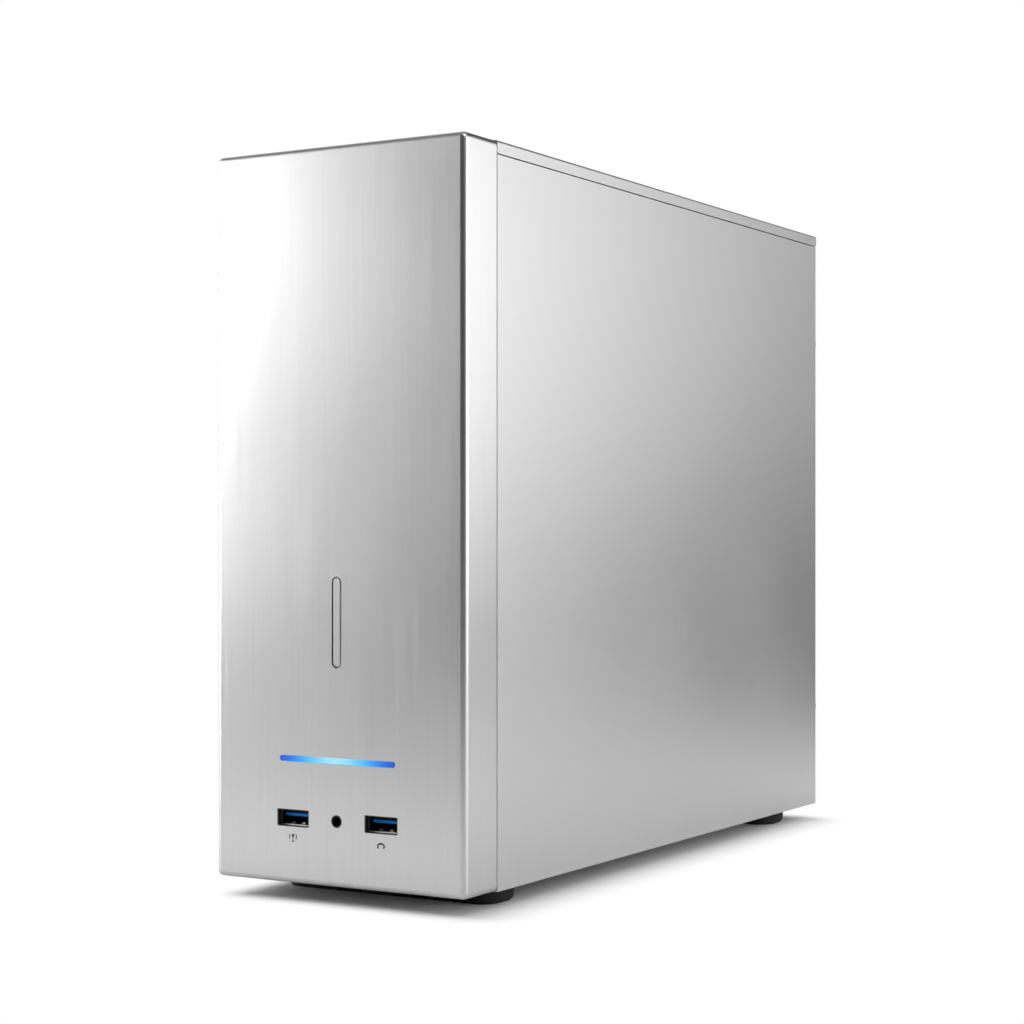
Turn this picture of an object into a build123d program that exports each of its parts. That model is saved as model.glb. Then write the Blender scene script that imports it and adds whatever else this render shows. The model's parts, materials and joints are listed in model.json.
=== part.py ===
from build123d import *
import os
from math import atan2, degrees, sqrt

# A small desktop computer tower: a sheet-metal case with a wrapped metal front, two side panels
# that slide off to the rear, and the board, supply, drive and fans that it holds.
# Millimetres. The front faces -Y, up is +Z, and the origin is on the floor under the middle.

# Standard parts that the case is built round
board_size = 170.0
board_thickness = 1.6
standoff_height = 6.35
board_rear_gap = 2.0
psu_width = 85.0
psu_height = 65.0
psu_length = 175.0
psu_sheet = 0.8
drive_length = 100.0
drive_width = 69.9
drive_thickness = 7.0
shield_height = 158.75
shield_width = 44.45
slot_cover_width = 18.4
slot_cover_length = 79.2

# Sheet metal of the case
skin = 1.2
sheet = 1.0
seam = 0.45
strip = 4.7
fold_radius = 1.0
fit_gap = 0.1

# Guides in which the side panels slide
rail_gap = 0.4
lip_height = 5.0
hook_clear = 2.7
base_lip = 3.0

# Free space round the standard parts
psu_side_gap = 3.6
psu_top_gap = 5.8
psu_board_gap = 4.0
board_floor_gap = 18.0
front_bay_depth = 111.4
plate_setback = 1.4

# Front bezel and what shows in it, heights from the underside of the case
bezel_depth = 21.0
bezel_wall = 2.0
bezel_radius = 2.2
clip_width = 12.0
clip_thickness = 1.8
clip_barb = 1.5
clip_inset = 42.0
button_slot_length = 32.6
button_slot_width = 4.1
button_gap = 0.45
button_height = 94.6
button_flange = 1.6
button_flange_thickness = 1.4
button_collar_wall = 1.4
button_collar_depth = 5.0
button_travel = 1.0
stem_radius = 1.5
light_length = 50.2
light_width = 2.25
light_height = 45.1
light_flange = 1.2
light_flange_thickness = 1.4
port_height = 23.6
usb_offset = 19.1
usb_window_width = 14.0
usb_window_height = 6.25
usb_shell_width = 13.1
usb_shell_height = 5.7
usb_shell_wall = 0.35
usb_corner = 0.5
usb_tongue_width = 11.1
usb_tongue_thickness = 1.9
usb_tongue_rise = 0.95
usb_tongue_setback = 1.4
usb_tongue_base = 4.0
jack_hole_radius = 2.3
jack_nose_radius = 2.2
jack_bore_radius = 1.8
jack_bore_depth = 14.0
jack_body = 11.0
jack_body_setback = 2.6
frame_thickness = 1.2
frame_margin = 3.0
frame_rim = 1.4
front_board_setback = 17.0
front_board_margin = 6.0
post_half = 2.4
post_pin_half = 1.0
post_pin_proud = 1.2
post_inset = 4.5
switch_size = 12.0
switch_body = 4.3
plunger_radius = 1.9
plunger_proud = 3.2
plunger_fit = 0.08
plunger_seat = 0.4
led_size = 2.0
led_height = 0.9
led_count = 6

# Feet
foot_height = 7.0
foot_length = 94.0
foot_depth = 23.0
foot_round = 9.0
foot_draft = 4.0
foot_edge = 1.2
foot_front_inset = 29.0
foot_rear_inset = 15.0
foot_screw_pitch = 56.0
foot_head_radius = 3.4
foot_head_height = 1.8
foot_head_recess = 3.0

# Fasteners
screw_radius = 1.6
screw_head_radius = 3.1
screw_head_height = 2.0
screw_reach = 5.0
thumb_head_radius = 4.2
thumb_head_height = 3.4
thumb_edge = 0.6
thumb_inset = 45.0
rear_flange = 13.0

# Fans
fan_size = 80.0
fan_hole_inset = 4.25
fan_hole_radius = 2.15
fan_corner = 4.0
fan_margin = 2.2
strut_root = 1.5
front_fan_depth = 25.0
slim_fan_depth = 15.0
fan_hub_radius = 15.5
fan_base = 2.4
fan_strut_width = 4.0
fan_struts = 4
fan_blades = 7
blade_thickness = 1.3
blade_root = 9.0
blade_tip = 19.0
blade_gap = 1.0
rotor_gap = 0.6
cup_wall = 1.6
shaft_radius = 1.5
shaft_gap = 0.05
bearing_wall = 2.4
front_fan_height = 172.0

# Vents
vent_slot = 4.0
vent_pitch = 7.2
vent_bar = 5.0
rear_vent_pitch = 11.5

# Parts on the main board, places from its rear and lower edges, heights from its face
socket_size = 44.0
socket_height = 7.2
cooler_y = 72.0
cooler_z = 108.0
cooler_base = 5.0
cooler_size = 84.0
cooler_fin_height = 24.0
cooler_fin = 1.1
cooler_fins = 18
cooler_post_inset = 4.5
cooler_post_radius = 3.0
memory_slot_end = 3.35
memory_slot_width = 6.6
memory_slot_height = 8.5
memory_slot_pitch = 9.6
memory_slot_y = 144.0
module_length = 133.3
module_height = 31.0
module_thickness = 1.3
module_seat = 3.0
chip_length = 11.0
chip_thickness = 1.0
chip_count = 8
latch_length = 6.0
latch_height = 15.0
latch_pin_radius = 1.1
latch_gap = 0.35
latch_cheek = 1.6
expansion_length = 89.0
expansion_width = 7.4
expansion_height = 11.2
expansion_end = 5.0
expansion_groove = 2.6
expansion_y = 48.0
expansion_z = 5.0
power_socket_length = 52.0
power_socket_width = 9.6
power_socket_height = 9.0
power_socket_y = 163.5
power_socket_z = 62.0
chipset_size = 34.0
chipset_height = 9.0
chipset_y = 114.0
chipset_z = 34.0
chipset_fins = 7
screw_inset = 6.4
standoff_radius = 3.0

# Rear sockets, each placed up the rear edge of the board
port_gap = 0.25
port_wall = 1.0
socket_depth = 14.0
usb_stack_width = 14.6
usb_stack_height = 15.6
usb_stack_depth = 17.0
usb_stack_z = 70.0
usb_stack_pitch = 20.0
usb_stack_tier = 7.8
network_width = 16.2
network_height = 13.6
network_depth = 21.0
network_mouth_width = 12.2
network_mouth_height = 6.8
network_catch_width = 5.4
network_z = 45.0
display_width = 16.4
display_height = 7.4
display_depth = 15.0
display_z = 118.0
display_pitch = 22.0
display_opening_width = 14.2
display_opening_height = 4.8
display_tongue_width = 10.2
display_tongue_thickness = 1.0
audio_width = 13.0
audio_depth = 15.0
audio_pitch = 12.0
audio_z = 22.0
audio_collar_radius = 3.6
shield_offset = 9.2
shield_drop = 3.4
shield_sheet = 0.6
shield_rim = 1.6

# Power supply details
inlet_width = 27.2
inlet_height = 19.8
inlet_depth = 19.0
inlet_flange = 1.6
inlet_flange_thickness = 1.8
inlet_mouth_width = 24.4
inlet_mouth_height = 16.9
inlet_mouth_depth = 16.0
inlet_chamfer = 4.2
inlet_pin_width = 2.0
inlet_pin_height = 4.0
inlet_pin_pitch = 7.0
inlet_pin_length = 13.0
inlet_drop = 16.0
switch_depth = 12.0
rocker_width = 10.2
rocker_length = 14.8
rocker_gap = 0.4
rocker_tilt = 9.0
rocker_rise = 2.2
rocker_dish = 1.2
rocker_back = 2.6
rocker_pivot = 2.6
rocker_pin_radius = 1.2
rocker_pin_reach = 1.0
rocker_play = 1.3
rocker_wall = 1.6
psu_window_side = 9.5
psu_window_edge = 4.0
psu_screw_inset = 5.0
psu_screw_edge = 8.0
psu_fan_y = 118.0
psu_fan_gap = 1.7
psu_port_gap = 2.8
shelf_width = 10.8
shelf_length = 23.0

# Cables
harness_radius = 4.5
harness_bend = 18.0
harness_drop = 24.0
harness_forward = 30.0
harness_x = -10.0
plug_height = 13.0
front_cable_radius = 2.4
front_cable_bend = 10.0
front_cable_x = -12.0
front_cable_height = 66.0
front_cable_y = 161.0
front_cable_run = 22.0
front_cable_sag = 10.0
front_cable_slack = 14.0
header_size = 8.0
header_height = 10.0
drive_foot = 14.0
drive_setback = 30.0
bracket_flange = 6.0
bracket_end = 14.0

# Memory slots, from the modules that they take, in the middle of the board's height with their latches
memory_slot_length = module_length + 2 * memory_slot_end
memory_slot_z = (board_size - memory_slot_length - latch_length) / 2

# The supply's fan fills its width, and its inlet and switch stand at the ends of its rear window
psu_fan_size = psu_width - 2 * (psu_sheet + psu_fan_gap)
psu_window = psu_width / 2 - psu_window_side
inlet_x = -(psu_window - psu_port_gap - inlet_flange - inlet_width / 2)
switch_x = psu_window - psu_port_gap - inlet_flange - rocker_wall - rocker_gap - rocker_width / 2

# Half the height of the port frame
frame_half_height = usb_window_height / 2 + frame_rim

# Depths behind the inner face of a side panel, from the hook to the wall of a guide
hook_depth = hook_clear
lip_depth = hook_depth + sheet + rail_gap
wall_depth = lip_depth + skin + rail_gap

# Outer sizes of the case, from what it holds
case_width = psu_width + 2 * (psu_side_gap + sheet + wall_depth + skin)
case_height = sheet + board_floor_gap + board_size + psu_board_gap + psu_height + psu_top_gap + skin
deepest = max(psu_length, board_size + board_rear_gap)
case_depth = bezel_depth + plate_setback + sheet + front_bay_depth + deepest + sheet
rear_proud = skin + thumb_head_height

# Planes across the case
half_width = case_width / 2
x_skin = half_width - skin
x_edge = x_skin - rail_gap
x_rail = psu_width / 2 + psu_side_gap
x_tray = x_rail - sheet
x_board = x_tray - standoff_height - board_thickness
x_thumb = x_rail + screw_radius + 2 * rail_gap

# Planes from front to rear
y_front = -(case_depth + rear_proud) / 2
y_wall = y_front + bezel_wall
y_bezel = y_front + bezel_depth
y_side = y_bezel + seam
y_plate = y_bezel + plate_setback
y_bay = y_plate + sheet
y_rear = y_front + case_depth
y_inside = y_rear - sheet
y_flange = y_rear + skin
y_board = y_inside - board_rear_gap
y_psu = y_inside - psu_length
y_front_board = y_front + front_board_setback
y_shield = y_rear - sheet / 2 + shield_sheet / 2

# Planes up the case
z_base = foot_height
z_floor = z_base + sheet
z_top = z_base + case_height
z_lid = z_top - skin
z_panel = z_top - strip - seam
z_board = z_floor + board_floor_gap
z_psu = z_board + board_size + psu_board_gap
z_guide = z_floor + rail_gap
z_port = z_base + port_height
z_button = z_base + button_height
z_light = z_base + light_height
z_fan = z_base + front_fan_height
z_thumbs = (z_base + thumb_inset, z_panel - thumb_inset)
z_slot = z_board + shield_offset - slot_cover_width / 2 - shield_rim - 2 * fit_gap
x_slot = x_board + shield_drop
x_shield = x_board + shield_drop
z_shield = z_board + shield_offset
sides = (-1, 1)


def block(x0, x1, y0, y1, z0, z1):
    """A box between two values on each axis, given in either order."""
    middle = Pos((x0 + x1) / 2, (y0 + y1) / 2, (z0 + z1) / 2)
    return middle * Box(abs(x1 - x0), abs(y1 - y0), abs(z1 - z0))


def along_x(sketch, x0, x1):
    """A sketch drawn in Y and Z, carried from x0 to x1."""
    return extrude(Plane.YZ.offset(x0) * sketch, amount=x1 - x0)


def along_y(sketch, y0, y1):
    """A sketch drawn in X and Z, carried from y0 to y1."""
    return extrude(Plane.XZ.offset(-y1) * sketch, amount=y1 - y0)


def along_z(sketch, z0, z1):
    """A sketch drawn in X and Y, carried from z0 to z1."""
    return extrude(Plane.XY.offset(z0) * sketch, amount=z1 - z0)


def on_board(y, z, size_y, size_z, low, high):
    """A block on the main board, its middle placed from the rear and lower edges."""
    y_mid = y_board - y
    z_mid = z_board + z
    return block(x_board - high, x_board - low, y_mid - size_y / 2, y_mid + size_y / 2,
                 z_mid - size_z / 2, z_mid + size_z / 2)


def count_in(length, pitch):
    """How many copies at this pitch fit a length."""
    return int(length / pitch)


def guide_block(side, z0, up, depth0, depth1, rise0, rise1, y0, y1):
    """A block of a guide, by its depth behind the panel and its rise from the panel's edge."""
    return block(side * (x_skin - depth0), side * (x_skin - depth1), y0, y1,
                 z0 + up * rise0, z0 + up * rise1)


def guide_rail(side, z0, up, foot):
    """The fixed half of a guide: a wall, and a hook that turns back towards the panel's fold."""
    rise = lip_height + rail_gap
    inner = wall_depth + sheet
    rail = guide_block(side, z0, up, wall_depth, inner, -foot, rise + sheet, y_bay, y_inside)
    rail += guide_block(side, z0, up, hook_depth, inner, rise, rise + sheet, y_bay, y_inside)
    rail += guide_block(side, z0, up, hook_depth, hook_depth + sheet, skin + rail_gap, rise + sheet,
                        y_bay, y_inside)
    return rail


def panel_fold(side, z0, up):
    """The sliding half of a guide: the panel's fold and the lip at its end."""
    start = y_bay + rail_gap
    fold = guide_block(side, z0, up, 0, lip_depth + skin, 0, skin, start, y_inside)
    return fold + guide_block(side, z0, up, lip_depth, lip_depth + skin, 0, lip_height, start, y_inside)


def side_panel(side):
    """A flat skin with a screw flange at the rear and a fold with a lip at its top and bottom."""
    panel = block(side * x_skin, side * half_width, y_side, y_flange, z_base, z_panel)
    flange = block(side * (half_width - rear_flange), side * half_width, y_rear, y_flange, z_base, z_panel)
    for z in z_thumbs:
        flange -= Pos(side * x_thumb, y_rear, z) * Rot(90, 0, 0) * Cylinder(screw_radius + fit_gap, 4 * skin)
    panel += flange
    outer = panel.edges().filter_by(Axis.Z).sort_by(Axis.Y)[-2:]
    corner = outer.sort_by(lambda edge: abs(edge.center().X))[-1]
    panel = fillet(corner, fold_radius)
    panel += panel_fold(side, z_guide, 1)
    return panel + panel_fold(side, z_panel, -1)


def thumbscrews(side):
    """Two screws that stay in the panel's rear flange."""
    screws = []
    for z in z_thumbs:
        head = Cylinder(thumb_head_radius, thumb_head_height)
        head = chamfer(head.edges(), thumb_edge)
        shank = rod_y(side * x_thumb, y_rear - sheet - screw_reach, y_flange + thumb_edge, z, screw_radius)
        screws.append(Pos(side * x_thumb, y_flange + thumb_head_height / 2, z) * Rot(90, 0, 0) * head + shank)
    return Compound(children=screws)


def rod_x(x0, x1, y, z, radius):
    """A round bar along X."""
    return Pos((x0 + x1) / 2, y, z) * Rot(0, 90, 0) * Cylinder(radius, abs(x1 - x0))


def rod_y(x, y0, y1, z, radius):
    """A round bar along Y."""
    return Pos(x, (y0 + y1) / 2, z) * Rot(90, 0, 0) * Cylinder(radius, abs(y1 - y0))


def bar_y(x, y0, y1, z, half):
    """A square bar along Y."""
    return block(x - half, x + half, y0, y1, z - half, z + half)


def rod_z(x, y, z0, z1, radius):
    """A round bar along Z."""
    return Pos(x, y, (z0 + z1) / 2) * Cylinder(radius, abs(z1 - z0))


def foot_centres():
    """The middles of the front and the rear foot."""
    front = y_front + foot_front_inset + foot_depth / 2
    rear = y_flange - foot_rear_inset - foot_depth / 2
    return front, rear


def foot_screw_places(y):
    """Where a foot is screwed to the base."""
    return [(side * foot_screw_pitch / 2, y) for side in sides]


def foot(y):
    """A rubber bar across the case, narrower below, with a bevelled lower edge."""
    section = RectangleRounded(foot_length, foot_depth, foot_round)
    bar = extrude(Plane.XY.offset(foot_height) * Pos(0, y) * section, amount=-foot_height, taper=foot_draft)
    bar = chamfer(bar.faces().sort_by(Axis.Z)[0].edges(), foot_edge)
    for x, yy in foot_screw_places(y):
        bar -= rod_z(x, yy, 0, foot_head_recess + foot_head_height, foot_head_radius + fit_gap)
        bar -= rod_z(x, yy, 0, foot_height, screw_radius + fit_gap)
    return bar


def foot_screws():
    """Screws that go up through the feet into the base."""
    screws = []
    head_top = foot_head_recess + foot_head_height
    for y in foot_centres():
        for x, yy in foot_screw_places(y):
            shank = rod_z(x, yy, head_top - fit_gap, z_floor + screw_head_height, screw_radius)
            screws.append(shank + rod_z(x, yy, foot_head_recess, head_top, foot_head_radius))
    return Compound(children=screws)


def base_pan():
    """The floor of the case with a guide along each side, a rear lip and intake slots."""
    pan = block(-x_edge, x_edge, y_side, y_inside, z_base, z_floor)
    for side in sides:
        pan += guide_rail(side, z_guide, 1, rail_gap)
    pan += block(-x_rail, x_tray, y_inside - sheet, y_inside, z_floor, z_floor + base_lip)
    for y in foot_centres():
        for x, yy in foot_screw_places(y):
            pan -= rod_z(x, yy, z_base, z_floor, screw_radius + fit_gap)
    first = foot_centres()[0] + foot_depth / 2 + vent_bar
    last = y_psu - vent_bar
    rows = count_in(last - first, vent_pitch)
    slot = Rectangle(x_rail - 2 * vent_bar, vent_slot)
    slots = [place * slot for place in GridLocations(x_rail - vent_bar, vent_pitch, 2, rows)]
    return pan - along_z(Pos(0, (first + last) / 2) * (Sketch() + slots), z_base, z_floor)


def top_rail(side):
    """A rail under the edge of the top cover that guides the top of a side panel."""
    foot_reach = z_lid - z_panel
    rail = guide_rail(side, z_panel, -1, foot_reach)
    flange = block(side * x_rail, side * (x_rail - 2 * lip_height), y_bay, y_inside, z_lid - sheet, z_lid)
    return rail + flange


def top_cover():
    """The top of the case, with a narrow strip folded down at each side and at the rear."""
    cover = block(-half_width, half_width, y_side, y_flange, z_top - strip, z_top)
    long_edges = cover.edges().filter_by(Axis.Y).sort_by(Axis.Z)[-2:]
    rear_edge = cover.edges().filter_by(Axis.X).group_by(Axis.Z)[-1].sort_by(Axis.Y)[-1:]
    cover = fillet(long_edges + rear_edge, fold_radius)
    return cover - block(-x_skin, x_skin, y_side - skin, y_rear, z_top - strip, z_lid)


def psu_screw_places():
    """Where the supply is screwed to the rear panel."""
    x = psu_width / 2 - psu_screw_inset
    heights = (z_psu + psu_screw_edge, z_psu + psu_height - psu_screw_edge)
    return [(side * x, z) for side in sides for z in heights]


def slot_screw_place():
    """Where the slot cover is screwed to the rear panel."""
    return x_slot - slot_cover_length + screw_head_radius + sheet, z_slot


def rear_panel():
    """The rear wall: openings for the sockets, the card slot and the supply, and vent slots."""
    wall = block(-x_edge, x_edge, y_inside, y_rear, z_floor, z_lid)
    notch = x_skin - wall_depth
    notch_height = lip_height + rail_gap
    for side in sides:
        wall -= block(side * notch, side * half_width, y_inside, y_rear, z_floor, z_guide + notch_height)
        wall -= block(side * notch, side * half_width, y_inside, y_rear, z_panel - notch_height, z_lid)
        for z in z_thumbs:
            wall -= rod_y(side * x_thumb, y_inside, y_rear, z, screw_radius + fit_gap)
    for x, z in psu_screw_places() + [slot_screw_place()]:
        wall -= rod_y(x, y_inside, y_rear, z, screw_radius + fit_gap)
    wall -= block(x_shield - shield_width, x_shield, y_inside, y_rear, z_shield, z_shield + shield_height)
    wall -= block(-psu_window, psu_window, y_inside, y_rear, z_psu + psu_window_edge,
                  z_psu + psu_height - psu_window_edge)
    slot_end = x_slot - slot_cover_length + 2 * screw_head_radius + 2 * sheet
    wall -= block(slot_end, x_slot - 2 * sheet, y_inside, y_rear,
                  z_slot - slot_cover_width / 2 + 2 * sheet, z_slot + slot_cover_width / 2 - 2 * sheet)
    left = -x_rail + vent_bar / 2
    right = x_shield - shield_width - vent_bar
    low = z_slot + slot_cover_width / 2 + vent_bar
    high = z_psu - vent_bar
    rows = count_in(high - low, rear_vent_pitch)
    slot = Rectangle(right - left, vent_slot)
    slots = [place * slot for place in GridLocations(1, rear_vent_pitch, 1, rows)]
    return wall - along_y(Pos((left + right) / 2, (low + high) / 2) * (Sketch() + slots), y_inside, y_rear)


def rear_screws():
    """Screws of the supply and of the slot cover."""
    screws = []
    for x, z in psu_screw_places() + [slot_screw_place()]:
        head = along_y(Pos(x, z) * RegularPolygon(screw_head_radius, 6), y_rear, y_rear + screw_head_height)
        screws.append(head + rod_y(x, y_inside - screw_reach, y_rear, z, screw_radius))
    return Compound(children=screws)


def slot_cover():
    """The plate that closes the card slot from inside."""
    plate = block(x_slot - slot_cover_length, x_slot, y_inside - sheet, y_inside,
                  z_slot - slot_cover_width / 2, z_slot + slot_cover_width / 2)
    x, z = slot_screw_place()
    return plate - rod_y(x, y_inside - sheet, y_inside, z, screw_radius + fit_gap)


def fan_holes(size):
    """The places of a fan's screw holes."""
    pitch = size - 2 * fan_hole_inset
    return GridLocations(pitch, pitch, 2, 2)


def round_grille(size):
    """Rows of slots over a fan's duct, parted by a bar down the middle."""
    radius = size / 2 - fan_margin
    rows = count_in(radius - 2 * vent_slot, vent_pitch)
    slots = []
    for row in range(-rows, rows + 1):
        reach = sqrt(radius ** 2 - (abs(row) * vent_pitch + vent_slot / 2) ** 2)
        slot = Rectangle(reach - vent_bar / 2, vent_slot)
        slots += [Pos(side * (reach + vent_bar / 2) / 2, row * vent_pitch) * slot for side in sides]
    return Sketch() + slots


def front_plate():
    """The inner front wall: an air grille for the fan, notches for the bezel's clips, a cable hole."""
    wall = block(-x_edge, x_edge, y_plate, y_bay, z_floor, z_lid)
    inner = half_width - bezel_wall
    for side in sides:
        for z in clip_heights():
            wall -= block(side * (inner - clip_thickness - rail_gap), side * half_width, y_plate, y_bay,
                          z - clip_width / 2 - rail_gap, z + clip_width / 2 + rail_gap)
    wall -= along_y(Pos(0, z_fan) * round_grille(fan_size), y_plate, y_bay)
    for place in fan_holes(fan_size):
        spot = place.position
        wall -= rod_y(spot.X, y_plate, y_bay, z_fan + spot.Y, fan_hole_radius)
    cable = 2 * front_cable_radius
    return wall - rod_y(front_cable_x, y_plate, y_bay, z_base + front_cable_height, cable)


def clip_heights():
    """Heights of the clips that hold the bezel to the front plate."""
    return z_base + clip_inset, z_top - clip_inset


def pill(length, width, upright):
    """A slot shape of this length, upright or lying."""
    return SlotOverall(length, width, rotation=90 if upright else 0)


def post_places():
    """Where the front board is held on the bezel's posts."""
    x = front_board_half() - post_inset
    heights = (front_board_low() + post_inset, front_board_high() - post_inset)
    return [(side * x, z) for side in sides for z in heights]


def front_board_half():
    """Half the width of the front board."""
    return usb_offset + usb_window_width / 2 + front_board_margin


def front_board_low():
    """The lower edge of the front board, with its posts just below the port frame."""
    return z_port - frame_half_height - rail_gap - post_half - post_inset


def front_board_high():
    """The upper edge of the front board."""
    return z_button + switch_size / 2 + front_board_margin


def front_bezel():
    """The wrapped front: a shell with rounded edges, its openings, posts, clips and button collar."""
    shell = block(-half_width, half_width, y_front, y_bezel, z_base, z_top)
    rounded = shell.edges().filter_by(Axis.Y) + shell.faces().sort_by(Axis.Y)[0].edges()
    shell = fillet(rounded, bezel_radius)
    inner = half_width - bezel_wall
    shell -= block(-inner, inner, y_wall, y_bezel, z_base + bezel_wall, z_top - bezel_wall)
    slot = pill(button_slot_length, button_slot_width, True)
    collar_length = button_slot_length + 2 * (button_flange + button_gap)
    collar_width = button_slot_width + 2 * (button_flange + button_gap)
    collar = pill(collar_length + 2 * button_collar_wall, collar_width + 2 * button_collar_wall, True)
    collar -= pill(collar_length, collar_width, True)
    shell += along_y(Pos(0, z_button) * collar, y_wall, y_wall + button_collar_depth)
    shell -= along_y(Pos(0, z_button) * slot, y_front, y_wall)
    shell -= along_y(Pos(0, z_light) * pill(light_length, light_width, False), y_front, y_wall)
    window = RectangleRounded(usb_window_width, usb_window_height, usb_corner)
    for side in sides:
        shell -= along_y(Pos(side * usb_offset, z_port) * window, y_front, y_wall)
    shell -= rod_y(0, y_front, y_wall, z_port, jack_hole_radius)
    for x, z in post_places():
        shell += bar_y(x, y_wall, y_front_board, z, post_half)
        shell += bar_y(x, y_wall, y_front_board + board_thickness + post_pin_proud, z, post_pin_half)
    for side in sides:
        for z in clip_heights():
            tip = y_bay + 2 * clip_barb
            shell += block(side * inner, side * (inner - clip_thickness), y_bezel - clip_width, tip,
                           z - clip_width / 2, z + clip_width / 2)
            shell += block(side * (inner - clip_thickness), side * (inner - clip_thickness - clip_barb),
                           y_bay + fit_gap, tip, z - clip_width / 2, z + clip_width / 2)
    return shell


def button_tip():
    """Where the button's stem meets the switch's plunger."""
    return y_front_board - switch_body - plunger_proud


def power_button():
    """A flush bar with a flange behind the bezel and a stem that presses the switch."""
    cap = pill(button_slot_length - 2 * button_gap, button_slot_width - 2 * button_gap, True)
    flange = pill(button_slot_length + 2 * button_flange, button_slot_width + 2 * button_flange, True)
    button = along_y(Pos(0, z_button) * cap, y_front, y_wall)
    button = chamfer(button.faces().sort_by(Axis.Y)[0].edges(), button_gap / 2)
    button += along_y(Pos(0, z_button) * flange, y_wall, y_wall + button_flange_thickness)
    return button + rod_y(0, y_wall, button_tip(), z_button, stem_radius)


def switch_plunger():
    """The pin of the power switch."""
    end = y_front_board - button_travel - 2 * plunger_seat
    return rod_y(0, button_tip(), end, z_button, plunger_radius)


def power_switch():
    """The switch behind the power button."""
    half = switch_size / 2
    body = block(-half, half, y_front_board - switch_body, y_front_board, z_button - half, z_button + half)
    return body - rod_y(0, y_front_board - switch_body, y_front_board - plunger_seat, z_button,
                        plunger_radius + plunger_fit)


def light_bar():
    """A clear bar flush with the front, with a flange behind it and a guide back to the lights."""
    bar = pill(light_length - 2 * fit_gap, light_width - 2 * fit_gap, False)
    flange = pill(light_length + 2 * light_flange, light_width + 2 * light_flange, False)
    piece = along_y(Pos(0, z_light) * bar, y_front, y_wall)
    piece += along_y(Pos(0, z_light) * flange, y_wall, y_wall + light_flange_thickness)
    return piece + along_y(Pos(0, z_light) * bar, y_wall, y_front_board - led_height - fit_gap)


def front_board():
    """The board behind the bezel that carries the front sockets, the switch and the lights."""
    half = front_board_half()
    board = block(-half, half, y_front_board, y_front_board + board_thickness, front_board_low(),
                  front_board_high())
    for x, z in post_places():
        board -= bar_y(x, y_front_board, y_front_board + board_thickness, z, post_pin_half + fit_gap)
    pitch = (light_length - led_size) / led_count
    for place in GridLocations(pitch, 1, led_count, 1):
        x = place.position.X
        board += block(x - led_size / 2, x + led_size / 2, y_front_board - led_height, y_front_board,
                       z_light - led_size / 2, z_light + led_size / 2)
    return board


def port_frame():
    """A plastic frame behind the bezel, with collars that line the socket windows."""
    half = usb_offset + usb_window_width / 2 + frame_margin
    frame = block(-half, half, y_wall, y_wall + frame_thickness, z_port - frame_half_height,
                  z_port + frame_half_height)
    collar = RectangleRounded(usb_window_width - 2 * fit_gap, usb_window_height - 2 * fit_gap, usb_corner)
    hole = RectangleRounded(usb_shell_width, usb_shell_height, usb_corner)
    passage = RectangleRounded(usb_shell_width + 2 * fit_gap, usb_shell_height + 2 * fit_gap, usb_corner)
    for side in sides:
        spot = Pos(side * usb_offset, z_port)
        frame += along_y(spot * collar, y_front + fit_gap, y_wall)
        frame -= along_y(spot * hole, y_front, y_wall)
        frame -= along_y(spot * passage, y_wall, y_wall + frame_thickness)
    return frame - rod_y(0, y_wall, y_wall + frame_thickness, z_port, jack_nose_radius + fit_gap)


def usb_shell(side):
    """The metal shell of a front socket, from the port frame to the front board."""
    outer = RectangleRounded(usb_shell_width, usb_shell_height, usb_corner)
    inner = RectangleRounded(usb_shell_width - 2 * usb_shell_wall, usb_shell_height - 2 * usb_shell_wall,
                             usb_corner - usb_shell_wall / 2)
    return along_y(Pos(side * usb_offset, z_port) * (outer - inner), y_wall, y_front_board)


def usb_tongue(side):
    """The contact tongue of a front socket and the block behind it."""
    width = usb_shell_width - 2 * usb_shell_wall - 2 * fit_gap
    height = usb_shell_height - 2 * usb_shell_wall - 2 * fit_gap
    x = side * usb_offset
    z = z_port + usb_tongue_rise
    half = usb_tongue_thickness / 2
    tongue = block(x - usb_tongue_width / 2, x + usb_tongue_width / 2, y_wall + usb_tongue_setback,
                   y_front_board - usb_tongue_base, z - half, z + half)
    return tongue + block(x - width / 2, x + width / 2, y_front_board - usb_tongue_base, y_front_board,
                          z_port - height / 2, z_port + height / 2)


def front_audio_jack():
    """A headset jack with a round nose in the front."""
    half = jack_body / 2
    face = y_wall + frame_thickness + jack_body_setback
    jack = bar_y(0, face, y_front_board, z_port, half)
    jack += rod_y(0, y_front, y_front_board - jack_body_setback, z_port, jack_nose_radius)
    return jack - rod_y(0, y_front, y_front + jack_bore_depth, z_port, jack_bore_radius)


def motherboard_tray():
    """The upright plate beside the right panel that carries the main board and a shelf for the supply."""
    tray = block(x_tray, x_rail, y_bay, y_inside, z_floor, z_psu)
    tray += block(x_tray - shelf_width, x_tray, y_psu, y_psu + shelf_length, z_psu - sheet, z_psu)
    high = z_board + board_size - rear_flange
    low = z_thumbs[0] + rear_flange
    tray += block(x_rail, x_skin - hook_clear, y_inside - sheet, y_inside, low, high)
    low = clip_heights()[0] + clip_width
    return tray + block(x_rail, x_skin - hook_clear, y_bay, y_bay + sheet, low, high)


def board_screw_places():
    """Where the main board is screwed down."""
    span = board_size - 2 * screw_inset
    middle = Pos(y_board - board_size / 2, z_board + board_size / 2)
    return [(middle * place).position for place in GridLocations(span, span, 2, 2)]


def board_standoffs():
    """Six-sided posts between the tray and the main board, bored for its screws."""
    posts = []
    end = x_tray - standoff_height
    for spot in board_screw_places():
        post = along_x(Pos(spot.X, spot.Y) * RegularPolygon(standoff_radius, 6), end, x_tray)
        posts.append(post - rod_x(end, x_tray - sheet, spot.X, spot.Y, screw_radius + fit_gap))
    return Compound(children=posts)


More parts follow.
